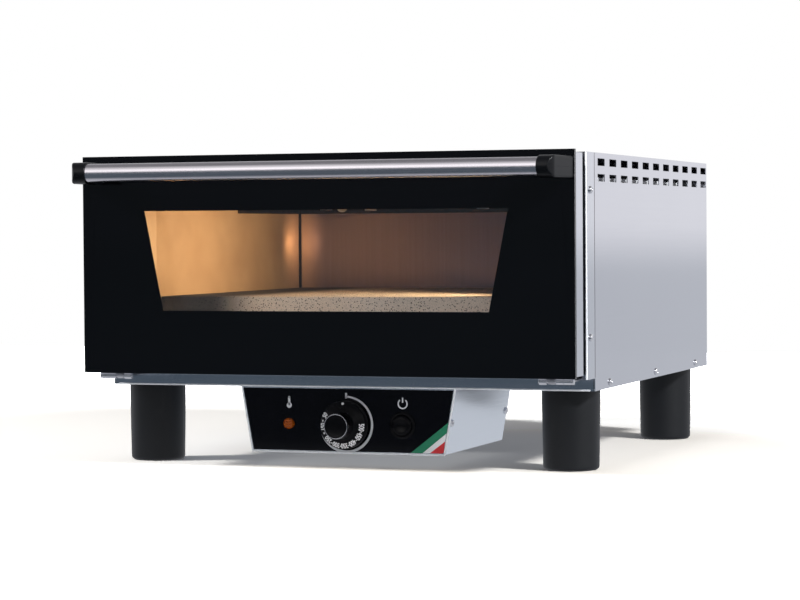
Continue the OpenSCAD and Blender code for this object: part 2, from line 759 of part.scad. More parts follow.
module thermostat_spindle() {
    color("silver") placed()
        rod_y([dial_x, cover_y - grip_reach + 4, control_z], spindle_d / 2, grip_reach - 4 + panel_t + 25);
}

module thermostat_knob() {
    gap = 1;
    skirt_r = skirt_d / 2;
    grip_r = grip_d / 2;
    color("dimgray") placed() translate([dial_x, cover_y - gap, control_z]) rotate([90, 0, 0]) difference() {
        rotate_extrude() polygon([[0, 0], [skirt_r, 0], [skirt_r, skirt_reach - gap - 5], [skirt_r - 0.8, skirt_reach - gap - 4],
                                  [grip_r + 1, skirt_reach - gap], [grip_r, skirt_reach - gap + 0.6],
                                  [grip_r - 0.2, grip_reach - gap - 1.2], [grip_r - 1.4, grip_reach - gap],
                                  [0, grip_reach - gap]]);
        translate([0, 0, -1]) cylinder(r = spindle_d / 2 + 0.02, h = grip_reach - gap - 3 + 1);
    }
}

module pilot_body() {
    color("white") placed() rod_y([pilot_x, panel_back_y, control_z], pilot_d / 2 + 1, 22);
}

module pilot_lens() {
    lens_r = pilot_d / 2;
    color("orange") placed() translate([pilot_x, cover_y, control_z]) rotate([90, 0, 0]) rotate_extrude()
        polygon([[0, -panel_t], [lens_r - 0.9, -panel_t], [lens_r - 0.9, 0], [lens_r, 0], [lens_r, 1.6],
                 [lens_r - 0.8, 3], [lens_r - 2.4, 4.2], [lens_r - 4, 4.8], [0, 5]]);
}

module switch_body() {
    color("black") placed() difference() {
        block([switch_x - 15, panel_back_y, control_z - 15], [switch_x + 15, panel_back_y + 28, control_z + 15]);
        rod_y([switch_x, panel_back_y - 1, control_z], button_d / 2 + 0.3, 1 + 6 + button_travel);
    }
}

module switch_bezel() {
    bezel_r = bezel_d / 2;
    hole_r = button_d / 2 + 0.3;
    color("black") placed() translate([switch_x, cover_y, control_z]) rotate([90, 0, 0]) rotate_extrude()
        polygon([[hole_r, 0], [bezel_r, 0], [bezel_r, 1.4], [bezel_r - 1.2, 2.6], [hole_r + 0.8, 3], [hole_r, 2.6]]);
}

module power_button() {
    r = button_d / 2;
    dome = 5.5;
    color("black") placed() translate([switch_x, cover_y, control_z]) rotate([90, 0, 0]) rotate_extrude()
        polygon([[0, -panel_t - 5], [r, -panel_t - 5], [r, dome - 2.2], [r - 0.8, dome - 1], [r - 2.4, dome - 0.2],
                 [r - 4, dome], [r - 6, dome - 0.4], [r - 8, dome - 0.9], [0, dome - 1.2]]);
}

// ---------- electrics ----------

wire_r = 1.4;
terminal_low = [gland_x - 50, rear_y - 60, floor_in_z];
terminal_high = [gland_x + 30, rear_y - 38, floor_in_z + 20];

module terminal_block() {
    color("ivory") placed() difference() {
        block(terminal_low, terminal_high);
        for (i = [0 : 4]) rod_z([terminal_low[0] + 10 + i * 15, (terminal_low[1] + terminal_high[1]) / 2,
                                 terminal_high[2] - 10], 3, 12);
    }
}

// Wires start at the terminal block's faces: some run under the insulation to a control,
// the others up behind it to a heater's end.
function terminal_x(i) = terminal_low[0] + 10 + i * 15;
wire_z = floor_in_z + 9;
function under_wire(i, lane_x, x, y, z) = [
    [terminal_x(i), terminal_low[1], wire_z], [terminal_x(i), terminal_low[1] - 12 - 5 * i, wire_z],
    [terminal_x(i) - 8, terminal_low[1] - 20 - 5 * i, wire_z], [lane_x + 8, terminal_low[1] - 20 - 5 * i, wire_z],
    [lane_x, terminal_low[1] - 28 - 5 * i, wire_z], [lane_x, cover_y + 135, wire_z],
    [lane_x, cover_y + 122, base_z - 2], [lane_x, cover_y + 110, base_z - 16], [x, y + 22, z], [x, y, z]];
function up_wire(i, lane_y, x, z) = [
    [terminal_x(i), terminal_high[1], wire_z], [terminal_x(i), lane_y - 5, wire_z], [terminal_x(i), lane_y, wire_z + 6],
    [terminal_x(i), lane_y, wire_z + 22], [x, lane_y, z - 24], [x, cold_y + 14, z - 3], [x, cold_y + 8, z], [x, cold_y, z]];

module internal_wiring() {
    color("brown") placed() {
        swept(under_wire(0, -30, pilot_x, panel_back_y + 22, control_z), wire_r);
        swept(under_wire(1, 50, switch_x, panel_back_y + 28, control_z), wire_r);
        swept(up_wire(3, terminal_high[1] + 12, -first_run_x, lower_z), wire_r);
        swept(up_wire(4, terminal_high[1] + 20, first_run_x, upper_z), wire_r);
    }
}

module gland_hole(len) { rod_y([gland_x, rear_y - 12, gland_z], gland_bore / 2, len); }

module cable_gland() {
    color("dimgray") placed() difference() {
        union() {
            rod_y([gland_x, rear_y - 9, gland_z], gland_d / 2 - 3.2, 10);
            translate([gland_x, rear_y, gland_z]) rotate([-90, 0, 0]) cylinder(r = gland_d / 2, h = 7, $fn = 6);
            translate([gland_x, rear_y + 7 - eps, gland_z]) rotate([-90, 0, 0])
                cylinder(r1 = gland_d / 2 - 2, r2 = gland_d / 2 - 4.5, h = gland_reach - 7 + eps);
        }
        gland_hole(gland_reach + 14);
    }
}

module gland_nut() {
    color("dimgray") placed() difference() {
        translate([gland_x, rear_y - sheet - 5, gland_z]) rotate([-90, 0, 0]) cylinder(r = gland_d / 2, h = 5, $fn = 6);
        rod_y([gland_x, rear_y - 12, gland_z], gland_d / 2 - 3.1, 14);
    }
}

// ---------- feet and fasteners ----------

module foot(x, y) {
    top_r = foot_d / 2;
    low_r = top_r - foot_taper / 2;
    round_r = 4;
    steps = 5;
    color("dimgray") placed() translate([x, y, 0]) difference() {
        rotate_extrude($fn = 96) polygon(concat(
            [[0, 0]],
            [for (i = [0 : steps]) let (a = 90 * i / steps)
                [low_r - round_r + round_r * sin(a), round_r - round_r * cos(a)]],
            [[top_r, foot_h - 1], [top_r - 1, foot_h], [0, foot_h]]));
        translate([0, 0, foot_h - foot_bolt_in - 2]) cylinder(r = foot_bolt_d / 2 + fit_gap, h = foot_bolt_in + 4);
    }
}

module foot_front_left() { foot(-foot_x, foot_ys[0]); }
module foot_front_right() { foot(foot_x, foot_ys[0]); }
module foot_rear_left() { foot(-foot_x, foot_ys[1]); }
module foot_rear_right() { foot(foot_x, foot_ys[1]); }

module foot_bolts() {
    color("silver") placed() both_sides() for (y = foot_ys) {
        rod_z([foot_x, y, base_z - foot_bolt_in], foot_bolt_d / 2, foot_bolt_in + sheet + 1);
        translate([foot_x, y, floor_in_z]) cylinder(r = foot_bolt_d * 0.85, h = bolt_head_h, $fn = 6);
    }
}

module cover_screws() {
    color("silver") placed() both_sides() {
        for (y = cover_screw_ys) translate([side_x, y, cover_screw_z]) mirror([1, 0, 0]) pan_screw(screw_len);
        for (z = frame_screw_zs) translate([side_x, frame_screw_y, z]) mirror([1, 0, 0]) pan_screw(screw_len);
    }
}

module back_screws() {
    color("silver") placed() both_sides() for (z = back_screw_zs)
        translate([back_screw_x, rear_y, z]) rotate([0, 0, -90]) pan_screw(screw_len);
}

module control_box_screws() {
    seat_x = box_half(box_screw_z, 0);
    tilt = atan(box_slope);
    color("silver") placed() both_sides() for (y = box_screw_ys)
        translate([seat_x, y, box_screw_z]) rotate([0, tilt, 0]) mirror([1, 0, 0]) pan_screw(screw_len - 1);
}

// ---------- door ----------

module window_outline() {
    polygon([[-win_bottom_w / 2, win_z], [win_bottom_w / 2, win_z],
             [win_top_w / 2, win_z + win_h], [-win_top_w / 2, win_z + win_h]]);
}

module handle_holes(y, t) {
    both_sides() for (s = [-0.5, 0.5]) rod_y([handle_screw_x, y, handle_z + s * handle_screw_pitch], screw_d / 2 + fit_gap, t);
}

module door_glass() {
    color("slategray") placed() difference() {
        block([-door_x, 0, door_z], [door_x, glass_t, door_z + door_h]);
        handle_holes(-1, glass_t + 2);
    }
}

module glass_print() {
    color("black") placed() difference() {
        block([-door_x, glass_t, door_z], [door_x, glass_t + print_t, door_z + door_h]);
        plate_xz(glass_t - 1, print_t + 2) window_outline();
        handle_holes(glass_t - 1, print_t + 2);
    }
}

module door_tray() {
    low_y = glass_t + print_t;
    color("gainsboro") placed() difference() {
        block([-tray_x, low_y, tray_z], [tray_x, door_t, tray_top_z]);
        block([-tray_x + sheet, low_y + sheet, tray_z + sheet], [tray_x - sheet, tray_back_y, tray_top_z - sheet]);
        block([-tray_x + glue_edge, low_y - 1, tray_z + glue_edge],
              [tray_x - glue_edge, low_y + 2 * sheet, tray_top_z - glue_edge]);
        block([-tray_win_x, tray_back_y - 1, tray_win_z], [tray_win_x, door_t + 1, tray_win_top_z]);
        handle_holes(low_y - 1, 2 * sheet + 1);
    }
}

pane_y = tray_back_y - inner_glass_t;

module inner_glass() {
    color("lightcyan") placed()
        block([-tray_win_x - pane_lap, pane_y, tray_win_z - pane_lap],
              [tray_win_x + pane_lap, tray_back_y, tray_win_top_z + pane_lap]);
}

// Stepped strips along the inner glass's upper and lower edges, fixed to the tray's back.
module glass_retainers() {
    low = tray_win_z - pane_lap;
    high = tray_win_top_z + pane_lap;
    color("silver") placed() {
        block([-tray_win_x, pane_y - 1.5, low - 9], [tray_win_x, pane_y, low + 5]);
        block([-tray_win_x, pane_y - 1.5, low - 9], [tray_win_x, tray_back_y, low - 0.5]);
        block([-tray_win_x, pane_y - 1.5, high - 5], [tray_win_x, pane_y, high + 9]);
        block([-tray_win_x, pane_y - 1.5, high + 0.5], [tray_win_x, tray_back_y, high + 9]);
    }
}

module door_seal() {
    r = seal_d / 2;
    corner_r = 12;
    y = frame_y - r;
    x = mouth_x + seal_off;
    low = sill_z - seal_off;
    high = mouth_top_z + seal_off;
    color("dimgray") placed() {
        both_sides() {
            rod_z([x, y, low + corner_r], r, high - low - 2 * corner_r);
            translate([x - corner_r, y, high - corner_r]) rotate([90, 0, 0])
                rotate_extrude(angle = 90) translate([corner_r, 0]) circle(r = r);
            translate([x - corner_r, y, low + corner_r]) rotate([90, 0, 0]) rotate([0, 0, -90])
                rotate_extrude(angle = 90) translate([corner_r, 0]) circle(r = r);
        }
        for (z = [low, high]) rod_x([-x + corner_r, y, z], r, 2 * (x - corner_r));
    }
}

// ---------- handle ----------

module handle_tube() {
    full = 2 * (bracket_in + socket_depth) - 1;
    color("silver") placed() difference() {
        rod_x([-full / 2, -handle_stand, handle_z], handle_d / 2, full);
        rod_x([-full / 2 - 1, -handle_stand, handle_z], handle_d / 2 - handle_wall, full + 2);
    }
}

module bracket_side_outline() {
    translate([-handle_stand, handle_z]) circle(r = bracket_d / 2);
    polygon([[0, handle_z - bracket_foot / 2], [0, handle_z + bracket_foot / 2],
             [-handle_stand + 1, handle_z + bracket_d / 2], [-handle_stand + 1, handle_z - bracket_d / 2]]);
}

module bracket_top_outline() {
    front = -handle_stand - bracket_d / 2 - 1;
    polygon([[bracket_in, front], [bracket_out - 2, front], [bracket_out, front + 4],
             [bracket_out + bracket_flare, 0], [bracket_in, 0]]);
}

module handle_bracket() {
    difference() {
        intersection() {
            translate([bracket_in - 1, 0, 0]) rotate([90, 0, 90])
                linear_extrude(bracket_t + bracket_flare + 2) bracket_side_outline();
            translate([0, 0, handle_z - bracket_foot]) linear_extrude(2 * bracket_foot) bracket_top_outline();
        }
        rod_x([bracket_in - 1, -handle_stand, handle_z], handle_d / 2 + fit_gap / 2, socket_depth + 1);
        handle_holes(-handle_screw_in, handle_screw_in + 1);
    }
}

module handle_bracket_left() { color("black") placed() mirror([1, 0, 0]) handle_bracket(); }
module handle_bracket_right() { color("black") placed() handle_bracket(); }

module handle_screws() {
    seat_y = glass_t + print_t + sheet;
    color("silver") placed() both_sides() for (s = [-0.5, 0.5])
        translate([handle_screw_x, seat_y, handle_z + s * handle_screw_pitch]) rotate([0, 0, -90]) pan_screw(seat_y + handle_screw_in - 1);
}

// ---------- hinges ----------

module hinge_leaves() {
    color("silver") placed() both_sides() difference() {
        union() {
            rod_x([leaf_in_x, axis_y, axis_z], knuckle_d / 2, knuckle_w);
            block([leaf_in_x, axis_y - 2, axis_z], [leaf_out_x, axis_y + 2, tray_z]);
            block([hinge_in_x, glass_t + print_t + 2, tray_z - hinge_plate], [hinge_out_x, door_t - 2, tray_z]);
        }
        rod_x([leaf_in_x - 1, axis_y, axis_z], pin_d / 2 + 0.05, knuckle_w + 2);
        // room for the fixed knuckles under the plate
        for (x = [hinge_in_x - 1, leaf_out_x])
            block([x, axis_y - 5, axis_z - 5], [x + (x < leaf_in_x ? leaf_in_x - hinge_in_x + 1 : knuckle_w + 2),
                                                axis_y + 5, axis_z + knuckle_d / 2 + 0.25]);
    }
}

module hinge_brackets() {
    color("silver") placed() both_sides() difference() {
        union() {
            for (x = [hinge_in_x, hinge_out_x - knuckle_w])
                rod_x([x, axis_y, axis_z], knuckle_d / 2, knuckle_w);
            block([hinge_in_x, axis_y, skirt_z - hinge_plate], [hinge_out_x, cover_y - 1, skirt_z]);
        }
        rod_x([hinge_in_x - 1, axis_y, axis_z], pin_d / 2 + 0.02, hinge_out_x - hinge_in_x + 2);
        block([spring_in_x - 0.4, axis_y - 8, skirt_z - 6], [leaf_out_x + 0.3, axis_y + 8, skirt_z + 1]);
    }
}

module hinge_pins() {
    color("gray") placed() both_sides() {
        rod_x([hinge_in_x - 1, axis_y, axis_z], pin_d / 2, hinge_out_x - hinge_in_x + 1);
        rod_x([hinge_out_x, axis_y, axis_z], knuckle_d / 2 - 0.2, 2);
    }
}

// A coil round the pin, drawn at rest.
spring_wire = 0.5;
spring_turns = 6;
spring_steps = 10;
spring_r = pin_d / 2 + 0.75;
function coil_points() = [for (i = [0 : spring_turns * spring_steps])
    let (a = i * 360 / spring_steps)
    [spring_in_x + 1 + (spring_w - 2) * i / (spring_turns * spring_steps),
     axis_y + spring_r * cos(a), axis_z + spring_r * sin(a)]];

module hinge_springs() {
    color("silver") placed() both_sides() swept(coil_points(), spring_wire, 6);
}

base_pan();
support_rails();
casing_cover();
back_panel();
front_frame();
chamber_liner();
insulation_top();
insulation_left();
insulation_right();
insulation_back();
insulation_floor();
stone_rails();
refractory_stone();
upper_heater();
lower_heater();
upper_heater_clips();
lower_heater_supports();
heater_bushings();
lamp_housing();
lamp_bulb();
lamp_cover();
thermostat_sensor();
sensor_clips();
capillary_tube();
control_box();
control_panel();
thermostat_body();
thermostat_spindle();
thermostat_knob();
pilot_body();
pilot_lens();
switch_body();
switch_bezel();
power_button();
terminal_block();
internal_wiring();
cable_gland();
gland_nut();
foot_front_left();
foot_front_right();
foot_rear_left();
foot_rear_right();
foot_bolts();
cover_screws();
back_screws();
control_box_screws();
door_glass();
glass_print();
door_tray();
inner_glass();
glass_retainers();
door_seal();
handle_tube();
handle_bracket_left();
handle_bracket_right();
handle_screws();
hinge_leaves();
hinge_brackets();
hinge_pins();
hinge_springs();
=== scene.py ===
import bmesh
import bpy
import numpy as np
from mathutils import Matrix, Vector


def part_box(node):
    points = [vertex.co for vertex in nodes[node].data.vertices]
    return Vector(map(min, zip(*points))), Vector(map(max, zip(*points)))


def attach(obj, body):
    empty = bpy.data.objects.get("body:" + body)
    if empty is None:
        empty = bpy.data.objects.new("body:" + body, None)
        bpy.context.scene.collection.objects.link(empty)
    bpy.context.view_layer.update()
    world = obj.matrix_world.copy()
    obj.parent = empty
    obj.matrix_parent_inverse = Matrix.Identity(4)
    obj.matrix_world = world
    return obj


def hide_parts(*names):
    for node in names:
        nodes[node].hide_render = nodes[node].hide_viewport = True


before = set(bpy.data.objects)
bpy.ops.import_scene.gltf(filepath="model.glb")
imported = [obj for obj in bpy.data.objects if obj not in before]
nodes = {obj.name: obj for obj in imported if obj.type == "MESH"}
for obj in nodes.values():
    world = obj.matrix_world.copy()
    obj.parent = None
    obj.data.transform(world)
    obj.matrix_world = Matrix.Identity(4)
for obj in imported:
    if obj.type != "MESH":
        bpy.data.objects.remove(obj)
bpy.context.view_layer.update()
print("packed oven loaded with", len(nodes), "nodes")

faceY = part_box("door_glass")[0].y        # the outer glass's front, where depths start
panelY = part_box("control_panel")[0].y    # the control panel's front
boxSlope = 0.174                         # how far the control box's sides lean out per metre of height


def tint(red, green, blue):
    # a colour as it looks on screen (0 to 255), turned into the linear values that shaders read
    value = np.array([red, green, blue]) / 255
    value = np.where(value <= 0.04045, value / 12.92, ((value + 0.055) / 1.055) ** 2.4)
    return (*value.tolist(), 1)


def newObject(name, data):
    thing = bpy.data.objects.new(name, data)
    bpy.context.scene.collection.objects.link(thing)
    return thing


def facing(place, side, above, away):
    # a camera's or lamp's matrix, from its place and three directions; it looks against away
    return Matrix.Translation(place) @ Matrix(np.array([side, above, away]).T.tolist()).to_4x4()


photoView = {"place": (0.95049, faceY - 2.43441, 0.24865), "turn": 19.5512, "down": 1.5643,
             "tilt": -0.3807, "lens": 114.6, "sensor": 36}


def setCamera(view):
    turn, down, tilt = np.radians([view["turn"], view["down"], view["tilt"]])
    ahead = np.array([-np.sin(turn) * np.cos(down), np.cos(turn) * np.cos(down), -np.sin(down)])
    level = np.array([np.cos(turn), np.sin(turn), 0])
    above = np.cross(level, ahead)
    right = level * np.cos(tilt) + above * np.sin(tilt)
    up = above * np.cos(tilt) - level * np.sin(tilt)
    camera = newObject("photoCamera", bpy.data.cameras.new("photoCamera"))
    camera.matrix_world = facing(view["place"], right, up, -ahead)
    camera.data.lens = view["lens"]
    camera.data.sensor_width = view["sensor"]
    bpy.context.scene.camera = camera


setCamera(photoView)
bpy.context.scene.view_settings.view_transform = "Standard"


def fill(tree, node, inputs):
    # each input takes another node's output, or else a plain value
    for name, value in inputs.items():
        if isinstance(value, bpy.types.NodeSocket):
            tree.links.new(value, node.inputs[name])
        else:
            node.inputs[name].default_value = value


def put(tree, kind, x, y, inputs={}, **settings):
    # one node of a tree, at a place in the editor, with its inputs and settings
    node = tree.nodes.new(kind if kind.startswith("NodeGroup") else "ShaderNode" + kind)
    node.location = x, y
    for name, value in settings.items():
        setattr(node, name, value)
    fill(tree, node, inputs)
    return node


def remap(tree, x, y, value, span, out=(0, 1), smooth=False):
    # stretches one span of values over another, and holds past its ends
    inputs = {"Value": value, "From Min": span[0], "From Max": span[1], "To Min": out[0], "To Max": out[1]}
    kind = "SMOOTHSTEP" if smooth else "LINEAR"
    return put(tree, "MapRange", x, y, inputs, interpolation_type=kind).outputs["Result"]


def reckon(tree, x, y, operation, *values, **settings):
    # one sum on outputs and plain numbers
    return put(tree, "Math", x, y, dict(enumerate(values)), operation=operation, **settings).outputs[0]


def blendColors(tree, x, y, factor, first, second):
    # a colour between two, by a mask
    inputs = {"Factor": factor, 6: first, 7: second}
    return put(tree, "Mix", x, y, inputs, data_type="RGBA").outputs[2]


def axes(tree, x, y, kind="Object"):
    # a point's X, Y and Z apart
    where = put(tree, "TexCoord", x, y).outputs[kind]
    return put(tree, "SeparateXYZ", x + 180, y, {0: where}).outputs


# What polished metal and glass see of the studio, by the sine of the height above the horizon:
# in front a dark wall with a bright panel above it, behind and beside the panel pale walls over a
# slightly darker floor, and a dim ceiling. Matt surfaces see one plain level.
room = {"front": [(-0.02, (0.095, 0.12, 0.145)), (0.05, (0.11, 0.125, 0.145)), (0.16, (1.3, 1.27, 1.27)),
                  (0.24, (1.75, 1.72, 1.72)), (0.42, (1.7, 1.67, 1.67)), (0.72, (0.85, 0.84, 0.85)),
                  (0.95, (0.28, 0.28, 0.29)), (1.0, (0.18, 0.18, 0.19))],
        "behind": [(-0.5, (0.58, 0.6, 0.645)), (-0.016, (0.59, 0.61, 0.655)), (0.0, (0.9, 0.9, 0.94)),
                   (0.28, (0.94, 0.94, 0.96)), (0.5, (0.45, 0.45, 0.47)), (0.75, (0.27, 0.27, 0.28)),
                   (1.0, (0.2, 0.2, 0.21))],
        "frontEdge": (-0.45, -0.05), "panelX": -0.34, "panelEdge": (0.12, 0.28), "panelFoot": (0.07, 0.15),
        "matt": (0.2, 0.2, 0.204, 1), "seen": (1, 1, 1, 1)}


def lightRoom(room):
    world = bpy.data.worlds.new("studio")
    bpy.context.scene.world = world
    world.use_nodes = True
    tree = world.node_tree
    tree.nodes.clear()
    ray = put(tree, "LightPath", -700, 400).outputs
    toward = axes(tree, -1080, 0, "Generated")
    height = remap(tree, -700, 0, toward["Z"], (-1, 1))
    walls = []
    for row, side in enumerate(("front", "behind")):
        wall = put(tree, "ValToRGB", -480, -260 * row, {"Fac": height})
        ramp = wall.color_ramp
        ramp.interpolation = "EASE"
        while len(ramp.elements) < len(room[side]):
            ramp.elements.new(0.5)
        for element, (sine, color) in zip(ramp.elements, room[side]):
            element.position = (sine + 1) / 2
            element.color = (*color, 1)
        walls.append(wall.outputs["Color"])
    # the bright panel hangs in front and a little to the left; beside it the room is as behind
    behind = remap(tree, -480, 260, toward["Y"], room["frontEdge"], smooth=True)
    across = reckon(tree, -1060, 620, "SUBTRACT", toward["X"], room["panelX"])
    across = reckon(tree, -880, 620, "ABSOLUTE", across)
    aside = remap(tree, -700, 620, across, room["panelEdge"], smooth=True)
    raised = remap(tree, -700, 860, toward["Z"], room["panelFoot"], smooth=True)
    pale = reckon(tree, -300, 400, "MAXIMUM", behind, reckon(tree, -480, 620, "MULTIPLY", aside, raised))
    shiny = blendColors(tree, -120, 0, pale, *walls)
    matt = blendColors(tree, 60, 60, ray["Is Diffuse Ray"], shiny, room["matt"])
    seen = blendColors(tree, 240, 120, ray["Is Camera Ray"], matt, room["seen"])
    glow = put(tree, "Background", 420, 100, {"Color": seen})
    put(tree, "OutputWorld", 600, 100, {0: glow.outputs[0]})


lightRoom(room)

coverLow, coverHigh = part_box("lamp_cover")
coverY = (coverLow.y + coverHigh.y) / 2
lamps = {
    "leftLamp": {"place": (-2.6, -1.3, 1.9), "aim": (0, 0, 0.05), "size": 0.42, "power": 92,
                 "color": (1, 0.985, 0.965), "shows": False},
    "rightLamp": {"place": (2.45, -0.95, 1.85), "aim": (0, 0, 0.05), "size": 0.42, "power": 110,
                  "color": (0.97, 0.985, 1)},
    # the oven's own lamp shines through its cover in the right-hand wall
    "ovenLamp": {"place": (coverLow.x - 0.002, coverY - 0.012, 0.224), "aim": (-1, coverY + 0.16, 0.215),
                 "size": 0.026, "power": 0.45, "spread": 80, "color": (1, 0.75, 0.44)},
    # a studio lamp, no part of the oven: it stands in for the glow in the rear left corner
    "cornerLamp": {"place": (-0.182, faceY + 0.445, 0.235), "aim": (-0.212, faceY + 0.475, 0.235),
                   "size": 0.04, "tall": 0.004, "power": 0.034, "color": (1, 0.62, 0.33), "shows": False},
}


def hangLamp(name, lamp):
    light = bpy.data.lights.new(name, "AREA")
    light.shape = "ELLIPSE"
    light.size = lamp["size"]
    light.size_y = lamp.get("tall", lamp["size"])
    light.energy = lamp["power"]
    light.color = lamp["color"]
    light.spread = np.radians(lamp.get("spread", 180))
    away = np.array(lamp["place"]) - np.array(lamp["aim"])
    away /= np.linalg.norm(away)
    side = np.cross((0, 0, 1), away)
    side /= np.linalg.norm(side)
    holder = newObject(name, light)
    holder.matrix_world = facing(lamp["place"], side, np.cross(away, side), away)
    holder.visible_glossy = lamp.get("shows", True)      # whether shiny surfaces mirror the lamp itself


for name, lamp in lamps.items():
    hangLamp(name, lamp)
print("camera, room and lamps set")


def newGroup(name, inputs, outputs):
    group = bpy.data.node_groups.new(name, "ShaderNodeTree")
    socket = group.interface.new_socket
    for label, kind, value in inputs:
        socket(label, in_out="INPUT", socket_type="NodeSocket" + kind).default_value = value
    for label, kind in outputs:
        socket(label, in_out="OUTPUT", socket_type="NodeSocket" + kind)
    return group, put(group, "NodeGroupInput", -900, 0).outputs


def buildBrushedGrain():
    # fine lines left by brushing, and slow clouds over them
    group, given = newGroup("brushedGrain", [("Lines", "Vector", (900, 8, 900))],
                            [("Streak", "Float"), ("Cloud", "Float")])
    where = put(group, "TexCoord", -900, 200).outputs["Object"]
    stretch = put(group, "VectorMath", -650, 100, {0: where, 1: given["Lines"]}, operation="MULTIPLY")
    streak = put(group, "TexNoise", -420, 160,
                 {"Vector": stretch.outputs[0], "Scale": 1.0, "Detail": 3.0, "Roughness": 0.6})
    cloud = put(group, "TexNoise", -420, -120,
                {"Vector": where, "Scale": 7.0, "Detail": 2.0, "Roughness": 0.5})
    put(group, "NodeGroupOutput", 500, 0, {"Streak": streak.outputs["Fac"], "Cloud": cloud.outputs["Fac"]})
    return group


def buildSoftEdges():
    # rounds sharp edges in the shading and marks them, so that they can be worn or catch light
    group, given = newGroup("softEdges", [("Radius", "Float", 0.0006)],
                            [("Normal", "Vector"), ("Edge", "Float")])
    bevel = put(group, "Bevel", -600, 0, {"Radius": given["Radius"]}, samples=4).outputs[0]
    flat = put(group, "NewGeometry", -600, -200).outputs["Normal"]
    agree = put(group, "VectorMath", -380, -100, {0: bevel, 1: flat}, operation="DOT_PRODUCT")
    edge = remap(group, -160, -100, agree.outputs["Value"], (0.998, 0.8))
    put(group, "NodeGroupOutput", 500, 0, {"Normal": bevel, "Edge": edge})
    return group


def buildGrit():
    # small grains, scattered pits and slow patches, for stone, wool, ceramic and moulded plastic
    group, given = newGroup("grit", [("Grains", "Float", 900.0), ("Pits", "Float", 260.0)],
                            [(label, "Float") for label in ("Grain", "Pit", "Patch")])
    where = put(group, "TexCoord", -900, 260).outputs["Object"]
    grain = put(group, "TexNoise", -420, 200,
                {"Vector": where, "Scale": given["Grains"], "Detail": 4.0, "Roughness": 0.7})
    cell = put(group, "TexVoronoi", -420, -40,
               {"Vector": where, "Scale": given["Pits"], "Randomness": 1.0})
    patch = put(group, "TexNoise", -420, -300, {"Vector": where, "Scale": 22.0, "Detail": 3.0})
    pit = remap(group, -160, -40, cell.outputs["Distance"], (0.32, 0.18))
    put(group, "NodeGroupOutput", 500, 0,
        {"Grain": grain.outputs["Fac"], "Pit": pit, "Patch": patch.outputs["Fac"]})
    return group


brushedGrain = buildBrushedGrain()
softEdges = buildSoftEdges()
grit = buildGrit()


def useGroup(tree, group, x, y, **inputs):
    node = put(tree, "Group", x, y, node_tree=group)
    fill(tree, node, inputs)
    return node.outputs


def bumped(tree, x, y, height, strength, distance, edges):
    # the surface's normal: a height's bump over softened edges
    inputs = {"Height": height, "Strength": strength, "Distance": distance, "Normal": edges["Normal"]}
    return put(tree, "Bump", x, y, inputs).outputs[0]


def newMaterial(name):
    material = bpy.data.materials.new(name)
    material.use_nodes = True
    return material, material.node_tree, material.node_tree.nodes["Principled BSDF"]


def showEither(tree, factor, first, second):
    # the surface shows one shader or the other
    either = put(tree, "MixShader", 400, 0, {0: factor, 1: first.outputs[0], 2: second.outputs[0]})
    output = tree.nodes["Material Output"]
    output.location = 620, 0
    fill(tree, output, {"Surface": either.outputs[0]})


steelLooks = {
    "coverSteel": {"color": (214, 215, 221), "dark": (206, 207, 214), "rough": 0.09, "lines": (700, 5, 700),
                   "bump": 0.012, "edge": 0.0006},
    "frameSteel": {"color": (218, 220, 226), "dark": (204, 207, 214), "rough": 0.12, "lines": (700, 700, 5),
                   "bump": 0.015, "edge": 0.0003},
    "skirtSteel": {"color": (206, 211, 220), "dark": (188, 195, 206), "rough": 0.16, "lines": (5, 900, 900),
                   "bump": 0.02, "edge": 0.0003},
    "boxSteel": {"color": (236, 241, 247), "dark": (222, 228, 236), "rough": 0.2, "lines": (900, 6, 900),
                 "bump": 0.02, "edge": 0.0005},
    "zincSheet": {"color": (198, 201, 206), "dark": (172, 177, 184), "rough": 0.34, "lines": (60, 60, 60),
                  "bump": 0.03, "edge": 0.0005},
    "handleSteel": {"color": (226, 222, 227), "dark": (206, 202, 208), "rough": 0.26,
                    "lines": (4, 1500, 1500), "bump": 0.05, "edge": 0.0003},
    "brightSteel": {"color": (230, 230, 233), "dark": (206, 206, 211), "rough": 0.18,
                    "lines": (700, 700, 700), "bump": 0.02, "edge": 0.0004},
    "heaterSteel": {"color": (92, 84, 80), "dark": (62, 56, 54), "rough": 0.52, "lines": (300, 60, 300),
                    "bump": 0.05, "edge": 0.0002},
    "copperTube": {"color": (198, 128, 92), "dark": (150, 92, 66), "rough": 0.3, "lines": (200, 40, 200),
                   "bump": 0.02, "edge": 0.0002},
    # seamAndShadowSteel is dark: welded seams, and painted shade in the shadow line beside the front frame
    "seamAndShadowSteel": {"color": (70, 56, 48), "dark": (36, 28, 24), "rough": 0.5, "lines": (300, 300, 20),
                  "bump": 0.05, "edge": 0.0002},
}


def steel(name, look):
    # brushed or rolled metal: its lines shade the colour, the roughness and the bump
    material, tree, shader = newMaterial(name)
    grain = useGroup(tree, brushedGrain, -900, 100, Lines=look["lines"])
    edges = useGroup(tree, softEdges, -900, -260, Radius=look["edge"])
    streaks = reckon(tree, -660, 220, "MULTIPLY", grain["Streak"], 0.55)
    shade = reckon(tree, -480, 220, "MULTIPLY_ADD", grain["Cloud"], 0.5, streaks)
    roughness = (look["rough"] * 0.88, look["rough"] * 1.15)
    fill(tree, shader, {
        "Base Color": blendColors(tree, -280, 240, shade, tint(*look["color"]), tint(*look["dark"])),
        "Roughness": remap(tree, -480, 0, grain["Streak"], (0.3, 0.7), roughness),
        "Normal": bumped(tree, -280, -220, grain["Streak"], look["bump"], 0.0004, edges),
        "Metallic": 1})
    return material


materials = {name: steel(name, look) for name, look in steelLooks.items()}
